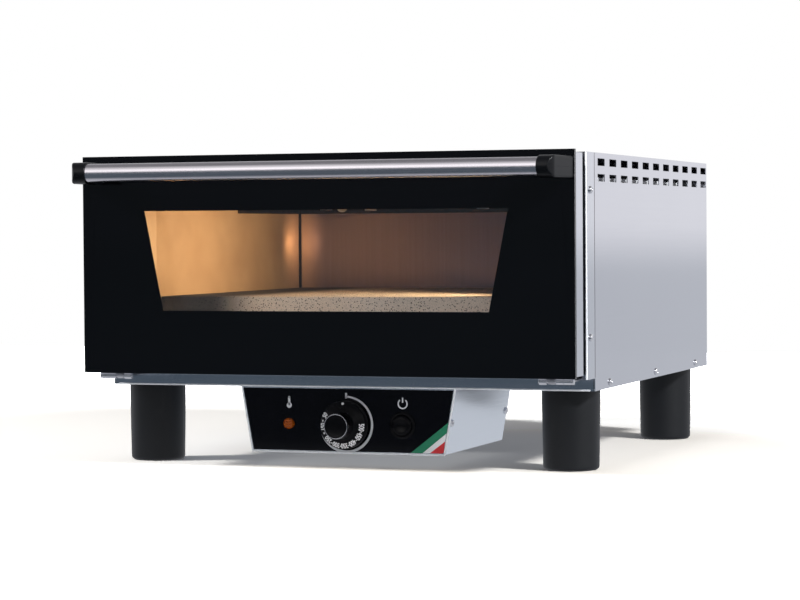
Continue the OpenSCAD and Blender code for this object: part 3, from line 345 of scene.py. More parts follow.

# wall and depth say where the film, a heat tint that also paints warm light, begins and ends, out from the
# middle and back from the glass
chamberLook = {"color": tint(147, 137, 152), "dark": tint(135, 124, 138), "filmAndGlow": tint(206, 172, 134),
               "stain": tint(170, 132, 96), "lines": (420, 420, 4), "rough": 0.3, "spread": 0.7,
               "filmAndGlowRough": 0.5, "filmAndGlowMetal": 0.15, "filmAndGlowLeft": 0.25, "patches": 40.0, "edge": 0.0005,
               "bump": 0.02, "wall": (0.175, 0.211), "depth": (faceY + 0.36, faceY + 0.6)}


def chamberSteel(look):
    # upright brushed lines smear each highlight sideways; a straw-coloured film from the heat
    # covers the side walls and thins out towards the rear, and its pale warm colour is also painted light
    material, tree, shader = newMaterial("ovenSteel")
    grain = useGroup(tree, brushedGrain, -1100, 100, Lines=look["lines"])
    grains = useGroup(tree, grit, -1100, 420, Grains=look["patches"])
    edges = useGroup(tree, softEdges, -1100, -300, Radius=look["edge"])
    place = axes(tree, -1500, -120)
    wall = remap(tree, -960, -60, reckon(tree, -1140, -60, "ABSOLUTE", place["X"]), look["wall"], smooth=True)
    deep = remap(tree, -960, -320, place["Y"], look["depth"], (1, look["filmAndGlowLeft"]), smooth=True)
    # the film mask: a heat tint, and painted warm light on the side walls that fades towards the rear
    filmAndGlow = reckon(tree, -760, -160, "MULTIPLY", wall, deep)
    bare = blendColors(tree, -560, 300, grain["Streak"], look["color"], look["dark"])
    straw = blendColors(tree, -560, 500, grains["Patch"], look["filmAndGlow"], look["stain"])
    around = put(tree, "Tangent", -360, -540, direction_type="RADIAL", axis="Z")
    fill(tree, shader, {
        "Base Color": blendColors(tree, -360, 300, filmAndGlow, bare, straw),
        "Metallic": remap(tree, -360, 60, filmAndGlow, (0, 1), (1, look["filmAndGlowMetal"])),
        "Roughness": remap(tree, -360, -140, filmAndGlow, (0, 1), (look["rough"], look["filmAndGlowRough"])),
        "Normal": bumped(tree, -360, -340, grain["Streak"], look["bump"], 0.0004, edges),
        "Anisotropic": look["spread"], "Tangent": around.outputs[0]})
    return material


print("steels ready")

mattLooks = {
    # edgeGlint and hemGlint are painted highlights: pale matt colours for the light caught by steel edges and
    # hems
    "edgeGlint": {"color": (250, 252, 255), "mark": (238, 241, 246), "rough": 0.4, "grains": 900,
                  "bump": 0.02},
    "hemGlint": {"color": (206, 209, 214), "mark": (190, 193, 199), "rough": 0.4, "grains": 900,
                 "bump": 0.02},
    "footPlastic": {"color": (3, 5, 8), "mark": (12, 15, 22), "rough": 0.45, "grains": 900, "bump": 0.16,
                    "shine": 0.36},
    "bracketPlastic": {"color": (4, 5, 8), "mark": (14, 15, 19), "rough": 0.3, "grains": 1800, "bump": 0.04,
                       "shine": 0.2},
    "knobPlastic": {"color": (3, 3, 5), "mark": (8, 8, 11), "rough": 0.26, "grains": 2200, "bump": 0.03,
                    "shine": 0.12},
    "panelBlack": {"color": (4, 4, 8), "mark": (7, 7, 11), "rough": 0.12, "grains": 900, "bump": 0.005,
                   "shine": 0.2},
    "buttonBlack": {"color": (3, 3, 5), "mark": (7, 7, 9), "rough": 0.24, "grains": 1600, "bump": 0.02,
                    "shine": 0.1},
    "printBlack": {"color": (3, 3, 7), "mark": (5, 5, 10), "rough": 0.3, "grains": 700, "bump": 0.004,
                   "shine": 0.2},
    "markGrey": {"color": (206, 208, 213), "mark": (180, 182, 188), "rough": 0.45, "grains": 1500,
                 "bump": 0.02},
    "markWhite": {"color": (246, 246, 248), "mark": (226, 226, 230), "rough": 0.45, "grains": 1500,
                  "bump": 0.02},
    "stripeGreen": {"color": (0, 132, 92), "mark": (0, 112, 78), "rough": 0.4, "grains": 1200, "bump": 0.02},
    "stripeRed": {"color": (228, 36, 44), "mark": (200, 30, 36), "rough": 0.4, "grains": 1200, "bump": 0.02},
    "bodyWhite": {"color": (222, 220, 212), "mark": (196, 193, 184), "rough": 0.5, "grains": 1200,
                  "bump": 0.06},
    "whiteCeramic": {"color": (236, 232, 222), "mark": (208, 202, 188), "rough": 0.6, "grains": 900,
                     "bump": 0.1},
    "mineralWool": {"color": (226, 214, 176), "mark": (182, 168, 128), "rough": 0.95, "grains": 420,
                    "bump": 0.9},
    "foilFace": {"color": (248, 249, 252), "mark": (226, 229, 236), "rough": 0.35, "grains": 70,
                 "bump": 0.35},
    "wireSheath": {"color": (120, 54, 38), "mark": (84, 36, 26), "rough": 0.7, "grains": 2400, "bump": 0.3},
}


def matt(name, look):
    # a moulded or printed surface: a second colour marks its grains and gathers where edges have rubbed
    material, tree, shader = newMaterial(name)
    grains = useGroup(tree, grit, -900, 100, Grains=look["grains"])
    edges = useGroup(tree, softEdges, -900, -260, Radius=0.0005)
    worn = reckon(tree, -660, 240, "MULTIPLY", grains["Patch"], edges["Edge"])
    mask = reckon(tree, -480, 240, "MULTIPLY_ADD", grains["Grain"], 0.45, worn, use_clamp=True)
    roughness = (look["rough"] - 0.06, look["rough"] + 0.1)
    fill(tree, shader, {
        "Base Color": blendColors(tree, -280, 240, mask, tint(*look["color"]), tint(*look["mark"])),
        "Roughness": remap(tree, -480, 0, grains["Patch"], (0, 1), roughness),
        "Normal": bumped(tree, -280, -220, grains["Grain"], look["bump"], 0.0005, edges),
        "Specular IOR Level": look.get("shine", 0.5)})
    return material


materials.update({name: matt(name, look) for name, look in mattLooks.items()})
materials["ovenSteel"] = chamberSteel(chamberLook)

stoneLook = {"color": tint(240, 216, 198), "pale": tint(250, 236, 222), "leftShadowColor": tint(48, 44, 44),
             "pit": tint(66, 54, 48), "rough": 0.88, "grains": 1500, "pits": 430.0, "edge": 0.0015,
             "sand": (0.5, 0.75), "sandy": 0.6, "leftShadow": (-0.15, -0.085), "leftShadowMost": 0.92}


def bakingStone(look):
    # fired clay: pale and darker patches, sandy grains, fine dark pits, and a painted shadow over its left
    # end
    material, tree, shader = newMaterial("bakingStone")
    grains = useGroup(tree, grit, -900, 100, Grains=look["grains"], Pits=look["pits"])
    edges = useGroup(tree, softEdges, -560, -380, Radius=look["edge"])
    base = blendColors(tree, -560, 240, grains["Patch"], look["color"], look["pale"])
    sandy = remap(tree, -740, 0, grains["Grain"], look["sand"], (0, look["sandy"]))
    base = blendColors(tree, -420, 240, sandy, base, look["pit"])
    base = blendColors(tree, -240, 240, grains["Pit"], base, look["pit"])
    leftward = axes(tree, -920, 420)["X"]
    # painted shadow: the colour darkens towards the stone's left end
    leftShadow = remap(tree, -560, 420, leftward, look["leftShadow"], (look["leftShadowMost"], 0), smooth=True)
    depth = reckon(tree, -560, -160, "SUBTRACT", grains["Grain"], grains["Pit"])
    fill(tree, shader, {
        "Base Color": blendColors(tree, -80, 300, leftShadow, base, look["leftShadowColor"]),
        "Roughness": look["rough"],
        "Normal": bumped(tree, -280, -220, depth, 0.6, 0.0012, edges)})
    return material


materials["bakingStone"] = bakingStone(stoneLook)

glassLooks = {
    "doorGlass": {"color": (0.955, 0.955, 0.95, 1), "rough": 0.0, "specular": 0.16},
    "innerGlass": {"color": (0.98, 0.98, 0.975, 1), "rough": 0.0, "specular": 0.2},
    "lampGlass": {"color": (1, 0.93, 0.8, 1), "rough": 0.18, "specular": 0.4},
}


def clearGlass(name, look):
    # clear glass with a breath of dust in its roughness; light from the lamps passes straight through
    material, tree, shader = newMaterial(name)
    dust = useGroup(tree, grit, -700, 0, Grains=60.0)["Patch"]
    fill(tree, shader, {
        "Base Color": look["color"], "Transmission Weight": 1, "IOR": 1.45,
        "Specular IOR Level": look["specular"],
        "Roughness": remap(tree, -460, 60, dust, (0.55, 0.9), (look["rough"], look["rough"] + 0.03))})
    ray = put(tree, "LightPath", 100, 400).outputs
    through = put(tree, "BsdfTransparent", 100, -400, {"Color": look["color"]})
    showEither(tree, ray["Is Shadow Ray"], shader, through)
    return material


materials.update({name: clearGlass(name, look) for name, look in glassLooks.items()})


def glowing(name, color, light, strength, shine=0.5):
    # a lit piece: slow patches blend its colour and its glow from two tints, each the other way round
    material, tree, shader = newMaterial(name)
    patch = useGroup(tree, grit, -700, 0, Grains=500.0)["Patch"]
    fill(tree, shader, {
        "Base Color": blendColors(tree, -300, 100, patch, color, light),
        "Emission Color": blendColors(tree, -300, -160, patch, light, color),
        "Emission Strength": strength, "Roughness": 0.18, "Specular IOR Level": shine})
    return material


materials["bulbGlow"] = glowing("bulbGlow", (1, 0.62, 0.3, 1), (1, 0.8, 0.5, 1), 3.0)
materials["amberLens"] = glowing("amberLens", tint(74, 26, 0), tint(196, 96, 14), 0.03, shine=0.25)

ropeLook = {"color": tint(34, 33, 36), "pale": tint(92, 90, 92), "rough": 0.9, "grains": 1600, "bump": 0.5}


def sealRope(look):
    # woven glass rope: slanted bands of strands, roughened by fine fibres
    material, tree, shader = newMaterial("sealRope")
    grains = useGroup(tree, grit, -900, 0, Grains=look["grains"])
    where = put(tree, "UVMap", -900, -240, uv_map="rope").outputs[0]
    bands = put(tree, "TexWave", -660, -240, {"Vector": where, "Scale": 1.0, "Distortion": 0.4},
                wave_type="BANDS", bands_direction="DIAGONAL")
    strands = reckon(tree, -460, -60, "MULTIPLY", grains["Grain"], bands.outputs["Fac"])
    bump = put(tree, "Bump", -280, -220,
               {"Height": strands, "Strength": look["bump"], "Distance": 0.0006})
    fill(tree, shader, {
        "Base Color": blendColors(tree, -280, 120, strands, look["color"], look["pale"]),
        "Roughness": look["rough"], "Normal": bump.outputs[0]})
    return material


materials["sealRope"] = sealRope(ropeLook)
print("materials ready:", len(materials))

nodeLooks = {
    "coverSteel": ["casing_cover"],
    "frameSteel": ["front_frame", "door_tray"],
    "skirtSteel": ["base_pan"],
    "boxSteel": ["control_box"],
    "zincSheet": ["back_panel", "support_rails", "glass_retainers", "foot_bolts", "upper_heater_clips",
                  "lower_heater_supports", "sensor_clips", "thermostat_spindle", "lamp_housing"],
    "ovenSteel": ["chamber_liner", "stone_rails"],
    "handleSteel": ["handle_tube"],
    "brightSteel": ["cover_screws", "back_screws", "control_box_screws", "handle_screws", "hinge_pins",
                    "hinge_springs", "hinge_leaves", "hinge_brackets"],
    "heaterSteel": ["upper_heater", "lower_heater"],
    "copperTube": ["thermostat_sensor", "capillary_tube"],
    "footPlastic": ["foot_front_left", "foot_front_right", "foot_rear_left", "foot_rear_right"],
    "bracketPlastic": ["handle_bracket_left", "handle_bracket_right", "cable_gland", "gland_nut"],
    "knobPlastic": ["thermostat_knob", "switch_body"],
    "panelBlack": ["control_panel"],
    "buttonBlack": ["switch_bezel", "power_button"],
    "printBlack": ["glass_print"],
    "bodyWhite": ["thermostat_body", "pilot_body"],
    "whiteCeramic": ["heater_bushings", "terminal_block"],
    "foilFace": ["insulation_top", "insulation_left", "insulation_right"],
    "mineralWool": ["insulation_back", "insulation_floor"],
    "wireSheath": ["internal_wiring"],
    "bakingStone": ["refractory_stone"],
    "doorGlass": ["door_glass"],
    "innerGlass": ["inner_glass"],
    "lampGlass": ["lamp_cover"],
    "bulbGlow": ["lamp_bulb"],
    "amberLens": ["pilot_lens"],
    "sealRope": ["door_seal"],
}

for look, names in nodeLooks.items():
    for name in names:
        data = nodes[name].data
        data.materials.clear()
        data.materials.append(materials[look])
bare = sorted(set(nodes) - {name for names in nodeLooks.values() for name in names})
print("nodes dressed; left bare:", bare)


def mount(name, mesh, look, body, replaced=()):
    # a finished mesh gets its look and the body that carries it, and the parts it stands for are hidden
    mesh.materials.clear()
    mesh.materials.append(materials[look])
    piece = newObject(name, mesh)
    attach(piece, body)
    if replaced:
        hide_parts(*replaced)


def surface(name, grids, look, body, replaced=(), angle=35, uvs=None):
    # every grid is rows x columns x 3 points, and each of its cells is one face; merging its
    # doubles closes seams and poles
    places, faces, start = [], [], 0
    for grid in grids:
        rows, columns = grid.shape[:2]
        index = np.arange(rows * columns).reshape(rows, columns) + start
        cells = np.stack([index[:-1, :-1], index[:-1, 1:], index[1:, 1:], index[1:, :-1]], -1)
        faces.append(cells.reshape(-1, 4))
        places.append(grid.reshape(-1, 3))
        start += rows * columns
    faces = np.concatenate(faces)
    mesh = bpy.data.meshes.new(name)
    mesh.from_pydata(np.concatenate(places).tolist(), [], faces.tolist())
    if uvs is not None:
        flat = np.concatenate([uv.reshape(-1, 2) for uv in uvs])[faces.reshape(-1)]
        mesh.uv_layers.new(name="rope").data.foreach_set("uv", flat.ravel().astype(np.float32))
    work = bmesh.new()
    work.from_mesh(mesh)
    bmesh.ops.remove_doubles(work, verts=work.verts, dist=1e-7)
    bmesh.ops.recalc_face_normals(work, faces=work.faces)
    work.to_mesh(mesh)
    work.free()
    mesh.polygons.foreach_set("use_smooth", np.ones(len(mesh.polygons), bool))
    mesh.set_sharp_from_angle(angle=np.radians(angle))
    mount(name, mesh, look, body, replaced)


panelMarks = {"proud": 0.0001, "deep": 0.0003}
frontY = panelY - panelMarks["proud"]
backY = frontY + panelMarks["deep"]


def slabAlong(inner, outer, front=frontY, back=backY):
    # a flat bar with a rectangular section: the section's corners follow the inner and the outer
    # line, and both ends close on the section's middle
    n = len(inner)
    corners = [np.column_stack([line[:, 0], np.full(n, y), line[:, 1]])
               for line, y in ((inner, front), (outer, front), (outer, back), (inner, back), (inner, front))]
    bar = np.stack(corners, 1)
    middle = bar[:, :4].mean(1, keepdims=True).repeat(5, 1)
    return np.concatenate([middle[:1], bar, middle[-1:]])


def uprightBar(x, width, low, high):
    # a flat bar between two upright lines
    z = np.linspace(low, high, 4)
    return slabAlong(*(np.column_stack([np.full(4, x + side * width / 2), z]) for side in (-1, 1)))


def arc(middle, radius, turn):
    # points on a circle, turned clockwise from its top
    return np.column_stack([middle[0] + radius * np.sin(turn), middle[1] + radius * np.cos(turn)])


def disc(middle, radius):
    # a flat round plate: rings from the middle of its front out over the rim to the middle of its back
    turn = np.linspace(0, 2 * np.pi, 41)
    rows = [(0, frontY), (radius, frontY), (radius, backY), (0, backY)]
    return np.stack([np.insert(arc(middle, r, turn), 1, y, axis=1) for r, y in rows])


dial = {"middle": (-0.001, 0.0445), "outer": 0.0302, "thick": 0.0027, "sweep": 250, "startShare": 0.72,
        "grow": 2.2, "fade": 0.9, "least": 0.02, "top": 0.0778, "tick": 0.0021}


def dialRing(dial):
    # a crescent: the outer edge is a circle, and the width grows from the top and fades to a
    # point past the bottom left; a short tick stands on its start
    turn = np.radians(np.linspace(0, dial["sweep"], 120))
    growing = dial["startShare"] + turn / dial["grow"] * (1 - dial["startShare"])
    width = dial["thick"] * np.clip(np.minimum(growing, (turn[-1] - turn) / dial["fade"]), dial["least"], 1)
    x, z = dial["middle"]
    crescent = slabAlong(arc((x, z), dial["outer"] - width, turn), arc((x, z), dial["outer"], turn))
    return [crescent, uprightBar(x, dial["tick"], z + dial["outer"] - dial["thick"], dial["top"])]


surface("dialRing", dialRing(dial), "markGrey", "casing")

symbols = {"power": (0.0622, 0.0673), "radius": 0.0049, "line": 0.0014, "gap": 38, "barLow": 0.0012,
           "barHigh": 0.0016, "heat": (-0.0656, 0.0639), "bulb": 0.0029, "stem": 0.0024, "stemTop": 0.0736}


def panelSymbols(symbols):
    # a broken circle with an upright bar for power, and a bulb with a round-ended stem for heat
    (x, z), radius, line = symbols["power"], symbols["radius"], symbols["line"]
    turn = np.radians(np.linspace(symbols["gap"], 360 - symbols["gap"], 60))
    (stemX, bulbZ), stem = symbols["heat"], symbols["stem"]
    endZ = symbols["stemTop"] - stem / 2
    return [slabAlong(arc((x, z), radius - line / 2, turn), arc((x, z), radius + line / 2, turn)),
            uprightBar(x, line, z + symbols["barLow"], z + radius + symbols["barHigh"]),
            disc((stemX, bulbZ), symbols["bulb"]), disc((stemX, endZ), stem / 2),
            uprightBar(stemX, stem, bulbZ, endZ)]


surface("panelSymbols", panelSymbols(symbols), "markGrey", "casing")

# each stripe's two places on the panel's lower edge, and its two heights on the sloping edge
panelCorner = {"low": 0.0161, "lowX": 0.1068,
               "stripeGreen": ((0.071, 0.084), (0.0485, 0.0373)),
               "markWhite": ((0.084, 0.0919), (0.0373, 0.0289)),
               "stripeRed": ((0.0919, 0.1045), (0.0289, 0.017))}


def cornerStripe(corner, lowX, highZ):
    # a slanted band from the panel's lower edge to its sloping right edge
    t = np.linspace(0, 1, 6)[:, None]
    low, edges = corner["low"], []
    for x, z in zip(lowX, highZ):
        edgeX = corner["lowX"] + boxSlope * (z - low)
        edges.append(np.array([x, low]) * (1 - t) + np.array([edgeX, z]) * t)
    return [slabAlong(*edges)]


for look in ("stripeGreen", "markWhite", "stripeRed"):
    name = "corner" + look[0].upper() + look[1:]
    surface(name, cornerStripe(panelCorner, *panelCorner[look]), look, "casing")
print("panel marks made")

# profile and skirt are pairs of radius and height; a dot is its angle, size and distance out
knob = {"x": -0.001, "z": 0.0445, "gap": 0.001,
        "ribs": 36, "ribDeep": 0.00012, "ribFrom": 0.016, "ribTo": 0.029,
        "profile": [(0, 0), (0.0249, 0), (0.0255, 0.0006), (0.0255, 0.0088), (0.0252, 0.0095), (0.0246, 0.01),
                    (0.0195, 0.012), (0.015, 0.0137), (0.0142, 0.0142), (0.0138, 0.0151), (0.0136, 0.0175),
                    (0.0135, 0.0235), (0.01345, 0.0288), (0.0133, 0.0299), (0.0128, 0.0307), (0.0119, 0.031),
                    (0.011, 0.0308), (0.006, 0.0303), (0, 0.0302)],
        "skirt": [(0.0137, 0.014), (0.0146, 0.0139), (0.0247, 0.01), (0.0255, 0.009)],
        "rim": 0.00028, "rimRadius": 0.0127, "rimHeight": 0.0307,
        "digits": 0.0073, "narrow": 0.64, "digitsRadius": 0.0193, "cut": 0.0001, "bold": 0.0002,
        "numbers": [(95, "500"), (121, "450"), (148, "400"), (173.5, "350"), (198.5, "300"), (226, "250"),
                    (265, "150"), (298, "50")],
        "dotProud": 0.00016, "dotSunk": 0.0001,
        "dots": [(1.5, 0.0013, 0.0228), (246.5, 0.0009, 0.0222), (281.5, 0.0009, 0.0222)]
                + [(angle, 0.0006, 0.0222) for angle in (108, 134.5, 160.75, 186, 212.25)]}


def onKnob(knob, radius, turn, height):
    # points by radius and turn round the knob's axis, and height out from the panel
    return np.stack(np.broadcast_arrays(knob["x"] + radius * np.sin(turn), panelY - knob["gap"] - height,
                                        knob["z"] + radius * np.cos(turn)), -1)


def knobBody(knob):
    # a profile of radius and height goes round the axis; fine ribs stand round the grip
    turn = np.linspace(0, 2 * np.pi, 145)
    radius, height = np.hsplit(np.array(knob["profile"]), 2)
    grip = (height > knob["ribFrom"]) & (height < knob["ribTo"])
    ribs = np.where(grip, knob["ribDeep"] * np.cos(knob["ribs"] * turn), 0)
    return onKnob(knob, radius + ribs, turn, height)


surface("knobBody", [knobBody(knob)], "knobPlastic", "knob", ["thermostat_knob"])


def onSkirt(knob, angle, across, outward, proud):
    # a flat point (across, outward) is wrapped round the knob's axis and laid on the skirt's cone
    radius = knob["digitsRadius"] + outward
    turn = np.radians(angle) + across / knob["digitsRadius"]
    return onKnob(knob, radius, turn, np.interp(radius, *np.transpose(knob["skirt"])) + proud)


def knobNumbers(knob):
    # each number is Blender's own lettering, cut finely and wrapped onto the skirt
    for angle, label in knob["numbers"]:
        curve = bpy.data.curves.new("number" + label, "FONT")
        curve.body = label
        curve.align_x = "CENTER"
        curve.size = knob["digits"]
        curve.extrude = knob["cut"]
        curve.offset = knob["bold"]
        letters = newObject("number" + label, curve)
        bpy.context.view_layer.update()
        mesh = bpy.data.meshes.new_from_object(letters.evaluated_get(bpy.context.evaluated_depsgraph_get()))
        bpy.data.objects.remove(letters)
        flat = np.zeros(len(mesh.vertices) * 3)
        mesh.vertices.foreach_get("co", flat)
        across, outward, proud = flat.reshape(-1, 3).T
        wrapped = onSkirt(knob, angle, across * knob["narrow"], outward, proud + knob["cut"])
        mesh.vertices.foreach_set("co", wrapped.ravel())
        mount("knobNumber" + label, mesh, "markWhite", "knob")


knobNumbers(knob)


def knobDots(knob):
    # round dots between the numbers, laid on the cone like them
    turn = np.linspace(0, 2 * np.pi, 25)
    front, back = knob["dotProud"], -knob["dotSunk"]
    grids = []
    for angle, size, radius in knob["dots"]:
        outward = radius - knob["digitsRadius"]
        grids.append(np.stack([onSkirt(knob, angle, r * np.sin(turn), outward + r * np.cos(turn), proud)
                               for r, proud in ((0, front), (size, front), (size, back), (0, back))]))
    return grids


def gripGlintRing(knob):
    # a thin steel ring round the grip's front edge, a painted highlight on the black knob: a small circle
    # carried round a large one
    around = np.linspace(0, 2 * np.pi, 97)[:, None]
    turn = np.linspace(0, 2 * np.pi, 13)
    return onKnob(knob, knob["rimRadius"] + knob["rim"] * np.cos(turn), around,
                  knob["rimHeight"] + knob["rim"] * np.sin(turn))


surface("gripGlintRing", [gripGlintRing(knob)], "brightSteel", "knob", angle=80)
surface("knobDots", knobDots(knob), "markWhite", "knob")
print("knob made")

handleEnd = {"inner": 0.2445, "outer": 0.26, "flare": 0.009, "foot": 0.015, "front": 0.0112, "stand": 0.0385,
             "height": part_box("handle_tube")[0].z + 0.0095, "corner": 14.0, "crowd": 1.8, "lean": 0.004,
             "leanFrom": 0.82}


def handleBracket(end, side):
    # rounded-rectangle sections follow the depth from the glass to the front; their height
    # narrows in a straight line and closes in a half circle, and their outer side leans in
    rows, columns = 56, 72
    t = 1 - (1 - np.linspace(0, 1, rows)[:, None]) ** end["crowd"]
    depth = t * (end["stand"] + end["front"])
    straight = end["foot"] + (end["front"] - end["foot"]) * np.clip(depth / end["stand"], 0, 1)
    cap = np.sqrt(np.clip(end["front"] ** 2 - np.clip(depth - end["stand"], 0, None) ** 2, 0, None))
    tip = np.clip((t - end["leanFrom"]) / (1 - end["leanFrom"]), 0, 1)
    outer = end["outer"] + end["flare"] * (1 - t) - end["lean"] * tip ** 2
    middleX, halfX = (outer + end["inner"]) / 2, (outer - end["inner"]) / 2
    turn = np.linspace(0, 2 * np.pi, columns)
    u, v = (np.sign(wave) * np.abs(wave) ** (2 / end["corner"]) for wave in (np.cos(turn), np.sin(turn)))
    grid = np.stack([side * (middleX + halfX * u), faceY - depth + 0 * u,
                     end["height"] + np.minimum(straight, cap) * v], -1)
    foot = grid[:1].mean(1, keepdims=True).repeat(columns, 1)
    return [np.concatenate([foot, grid])]


for side, name in ((-1, "left"), (1, "right")):
    surface("handleEnd" + name.capitalize(), handleBracket(handleEnd, side), "bracketPlastic", "door",
            ["handle_bracket_" + name], angle=50)

# side spots are pairs of depth behind the glass and height
screws = {"head": 0.0038, "rise": 0.0024, "fall": 0.42, "slot": 0.00055, "slotDeep": 0.0011, "slotLong": 0.62,
          "slotEnd": 0.0005,
          "sideSpots": [(0.1316, 0.0897), (0.3305, 0.0897), (0.5257, 0.0897), (0.0565, 0.1389),
                        (0.0565, 0.2884)],
          "rearX": 0.2623, "rearHeights": [0.0955, 0.2035, 0.3188],
          "boxX": 0.11374, "boxZ": 0.0475, "boxDepths": [0.08, 0.27]}


def screwHead(screws, seat, outward, up):
    # a low dome on its seat: the height is a flattened curve of the radius, less a cross-shaped
    # recess; the underside closes on the axis
    t = np.linspace(0, 0.9, 22)
    radius = screws["head"] * np.concatenate([t, [0.97, 1, 1, 0]])[:, None]
    dome = screws["rise"] * np.concatenate([1 - screws["fall"] * t ** 2.4, [0.45, 0.12, 0, 0]])[:, None]
    turn = np.linspace(0, 2 * np.pi, 41)
    x, y = radius * np.cos(turn), radius * np.sin(turn)
    arm = np.minimum(np.abs(x), np.abs(y))
    cut = (np.clip((screws["slot"] * 1.35 - arm) / (screws["slot"] * 0.5), 0, 1)
           * np.clip((screws["slotLong"] * screws["head"] - np.hypot(x, y)) / screws["slotEnd"], 0, 1))
    cut[-3:] = 0
    height = dome - screws["slotDeep"] * cut
    outward, up = np.array(outward, float), np.array(up, float)
    return (np.array(seat) + x[..., None] * np.cross(up, outward) + y[..., None] * up
            + height[..., None] * outward)


def screwSet(screws):
    # the cover's, frame's and back's screws, each turned by chance, and the control box's four
    sideX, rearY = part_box("casing_cover")[1].x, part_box("back_panel")[1].y
    tilt = np.arctan(boxSlope)
    rng = np.random.default_rng(4)
    seats = []
    for side in (-1, 1):
        for depth, z in screws["sideSpots"]:
            lean = rng.uniform(0, np.pi)
            seats.append(((side * sideX, faceY + depth, z), (side, 0, 0), (0, np.sin(lean), np.cos(lean))))
        for z in screws["rearHeights"]:
            lean = rng.uniform(0, np.pi)
            seats.append(((side * screws["rearX"], rearY, z), (0, 1, 0), (np.sin(lean), 0, np.cos(lean))))
        for depth in screws["boxDepths"]:
            seats.append(((side * screws["boxX"], faceY + depth, screws["boxZ"]),
                          (side * np.cos(tilt), 0, -np.sin(tilt)), (side * np.sin(tilt), 0, np.cos(tilt))))
    return [screwHead(screws, *seat) for seat in seats]


surface("screwHeads", screwSet(screws), "brightSteel", "casing",
        ["cover_screws", "back_screws", "control_box_screws"], angle=50)
print("handle ends and screws made")

rope = {"x": 0.23, "low": 0.1495, "high": 0.293, "corner": 0.012, "radius": 0.0042,
        "depth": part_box("door_seal")[0].y + 0.0042, "pitch": 0.0052, "strands": 3, "press": 0.07}


def ropeSeal(rope):
    # a round section follows a rectangle with rounded corners; two waves of opposite slant along
    # and round it press the strands in
    r = rope["corner"]
    half = np.array([rope["x"], (rope["high"] - rope["low"]) / 2]) - r
    middle = np.array([0, (rope["high"] + rope["low"]) / 2])
    f = np.linspace(0, 1, 9)[:-1, None]
    quarter = f * np.pi / 2
    way, knots, total = [], [], 0
    for on, out in np.array([[(1, 0), (0, 1)], [(0, -1), (1, 0)], [(-1, 0), (0, -1)], [(0, 1), (-1, 0)]]):
        # one straight side, and the quarter circle that turns it into the next
        pivot = middle + (on + out) * half
        side, bend = 2 * abs(on @ half), r * np.pi / 2
        way += [pivot + r * out - (1 - f) * side * on,
                pivot + r * (np.sin(quarter) * on + np.cos(quarter) * out)]
        knots += [total + f * side, total + side + f * bend]
        total += side + bend
    way, knots = np.concatenate(way + [way[0][:1]]), np.concatenate(knots + [[[total]]])[:, 0]
    s = np.linspace(0, total, 1401)
    x, z = np.interp(s, knots, way[:, 0]), np.interp(s, knots, way[:, 1])
    ahead = np.gradient(np.column_stack([x, z]), axis=0)
    ahead[0] = ahead[-1] = (1, 0)
    ahead /= np.linalg.norm(ahead, axis=1, keepdims=True)
    outX, outZ = -ahead[:, 1:], ahead[:, :1]
    turn = np.linspace(0, 2 * np.pi, 19)
    along = 2 * np.pi * np.round(total / rope["pitch"]) * (s / total)[:, None]
    strands = rope["strands"] * turn
    weave = 0.5 + 0.5 * np.cos(along + strands) * np.cos(along - strands)
    radius = rope["radius"] * (1 - rope["press"] * (1 - weave))
    grid = np.stack([x[:, None] + radius * np.cos(turn) * outX, rope["depth"] + radius * np.sin(turn),
                     z[:, None] + radius * np.cos(turn) * outZ], -1)
    return [grid], [np.stack(np.broadcast_arrays(along / 2, strands), -1)]


ropeGrids, ropeUvs = ropeSeal(rope)
surface("ropeSeal", ropeGrids, "sealRope", "casing", ["door_seal"], angle=80, uvs=ropeUvs)
print("rope seal made")

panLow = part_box("base_pan")[0]
frameLow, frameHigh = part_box("front_frame")


def bead(start, end, radius):
    # a round bar with domed ends: rings of a circle follow the line, and half-circle rings close it
    start, end = np.array(start, float), np.array(end, float)
    ahead = (end - start) / np.linalg.norm(end - start)
    side = np.cross(ahead, (0.3, 0.5, 0.8))
    side /= np.linalg.norm(side)
    other = np.cross(ahead, side)
    bend = np.linspace(0, np.pi / 2, 5)
    middles = np.concatenate([start - radius * np.cos(bend)[:, None] * ahead,
                              end + radius * np.sin(bend)[:, None] * ahead])
    sizes = radius * np.concatenate([np.sin(bend), np.cos(bend)])
    turn = np.linspace(0, 2 * np.pi, 17)
    around = np.cos(turn)[:, None] * side + np.sin(turn)[:, None] * other
    return middles[:, None] + sizes[:, None, None] * around


hem = {"radius": 0.001, "inset": 0.006, "sunk": 0.0004, "fromBottom": 0.0007, "fromTop": 0.0006}


def skirtHems(hem):
    # the rolled hems along the skirt's top and bottom edges, pale as a painted highlight
    x, y = frameHigh.x - hem["inset"], panLow.y + hem["sunk"]
    return [bead((-x, y, z), (x, y, z), hem["radius"])
            for z in (panLow.z + hem["fromBottom"], frameLow.z - hem["fromTop"])]


rim = {"radius": 0.001, "sunk": 0.0003}


def frameEdges(rim):
    # the folded edges up both sides of the front frame, near-white as a painted highlight
    r = rim["radius"]
    x, y = frameHigh.x - r, frameLow.y + rim["sunk"]
    return [bead((side * x, y, frameLow.z + r), (side * x, y, frameHigh.z - r), r) for side in (-1, 1)]


surface("skirtHems", skirtHems(hem), "hemGlint", "casing", angle=60)
surface("frameEdges", frameEdges(rim), "edgeGlint", "casing", angle=60)

boxRim = {"radius": 0.001, "sunk": 0.0002, "footX": 0.108}


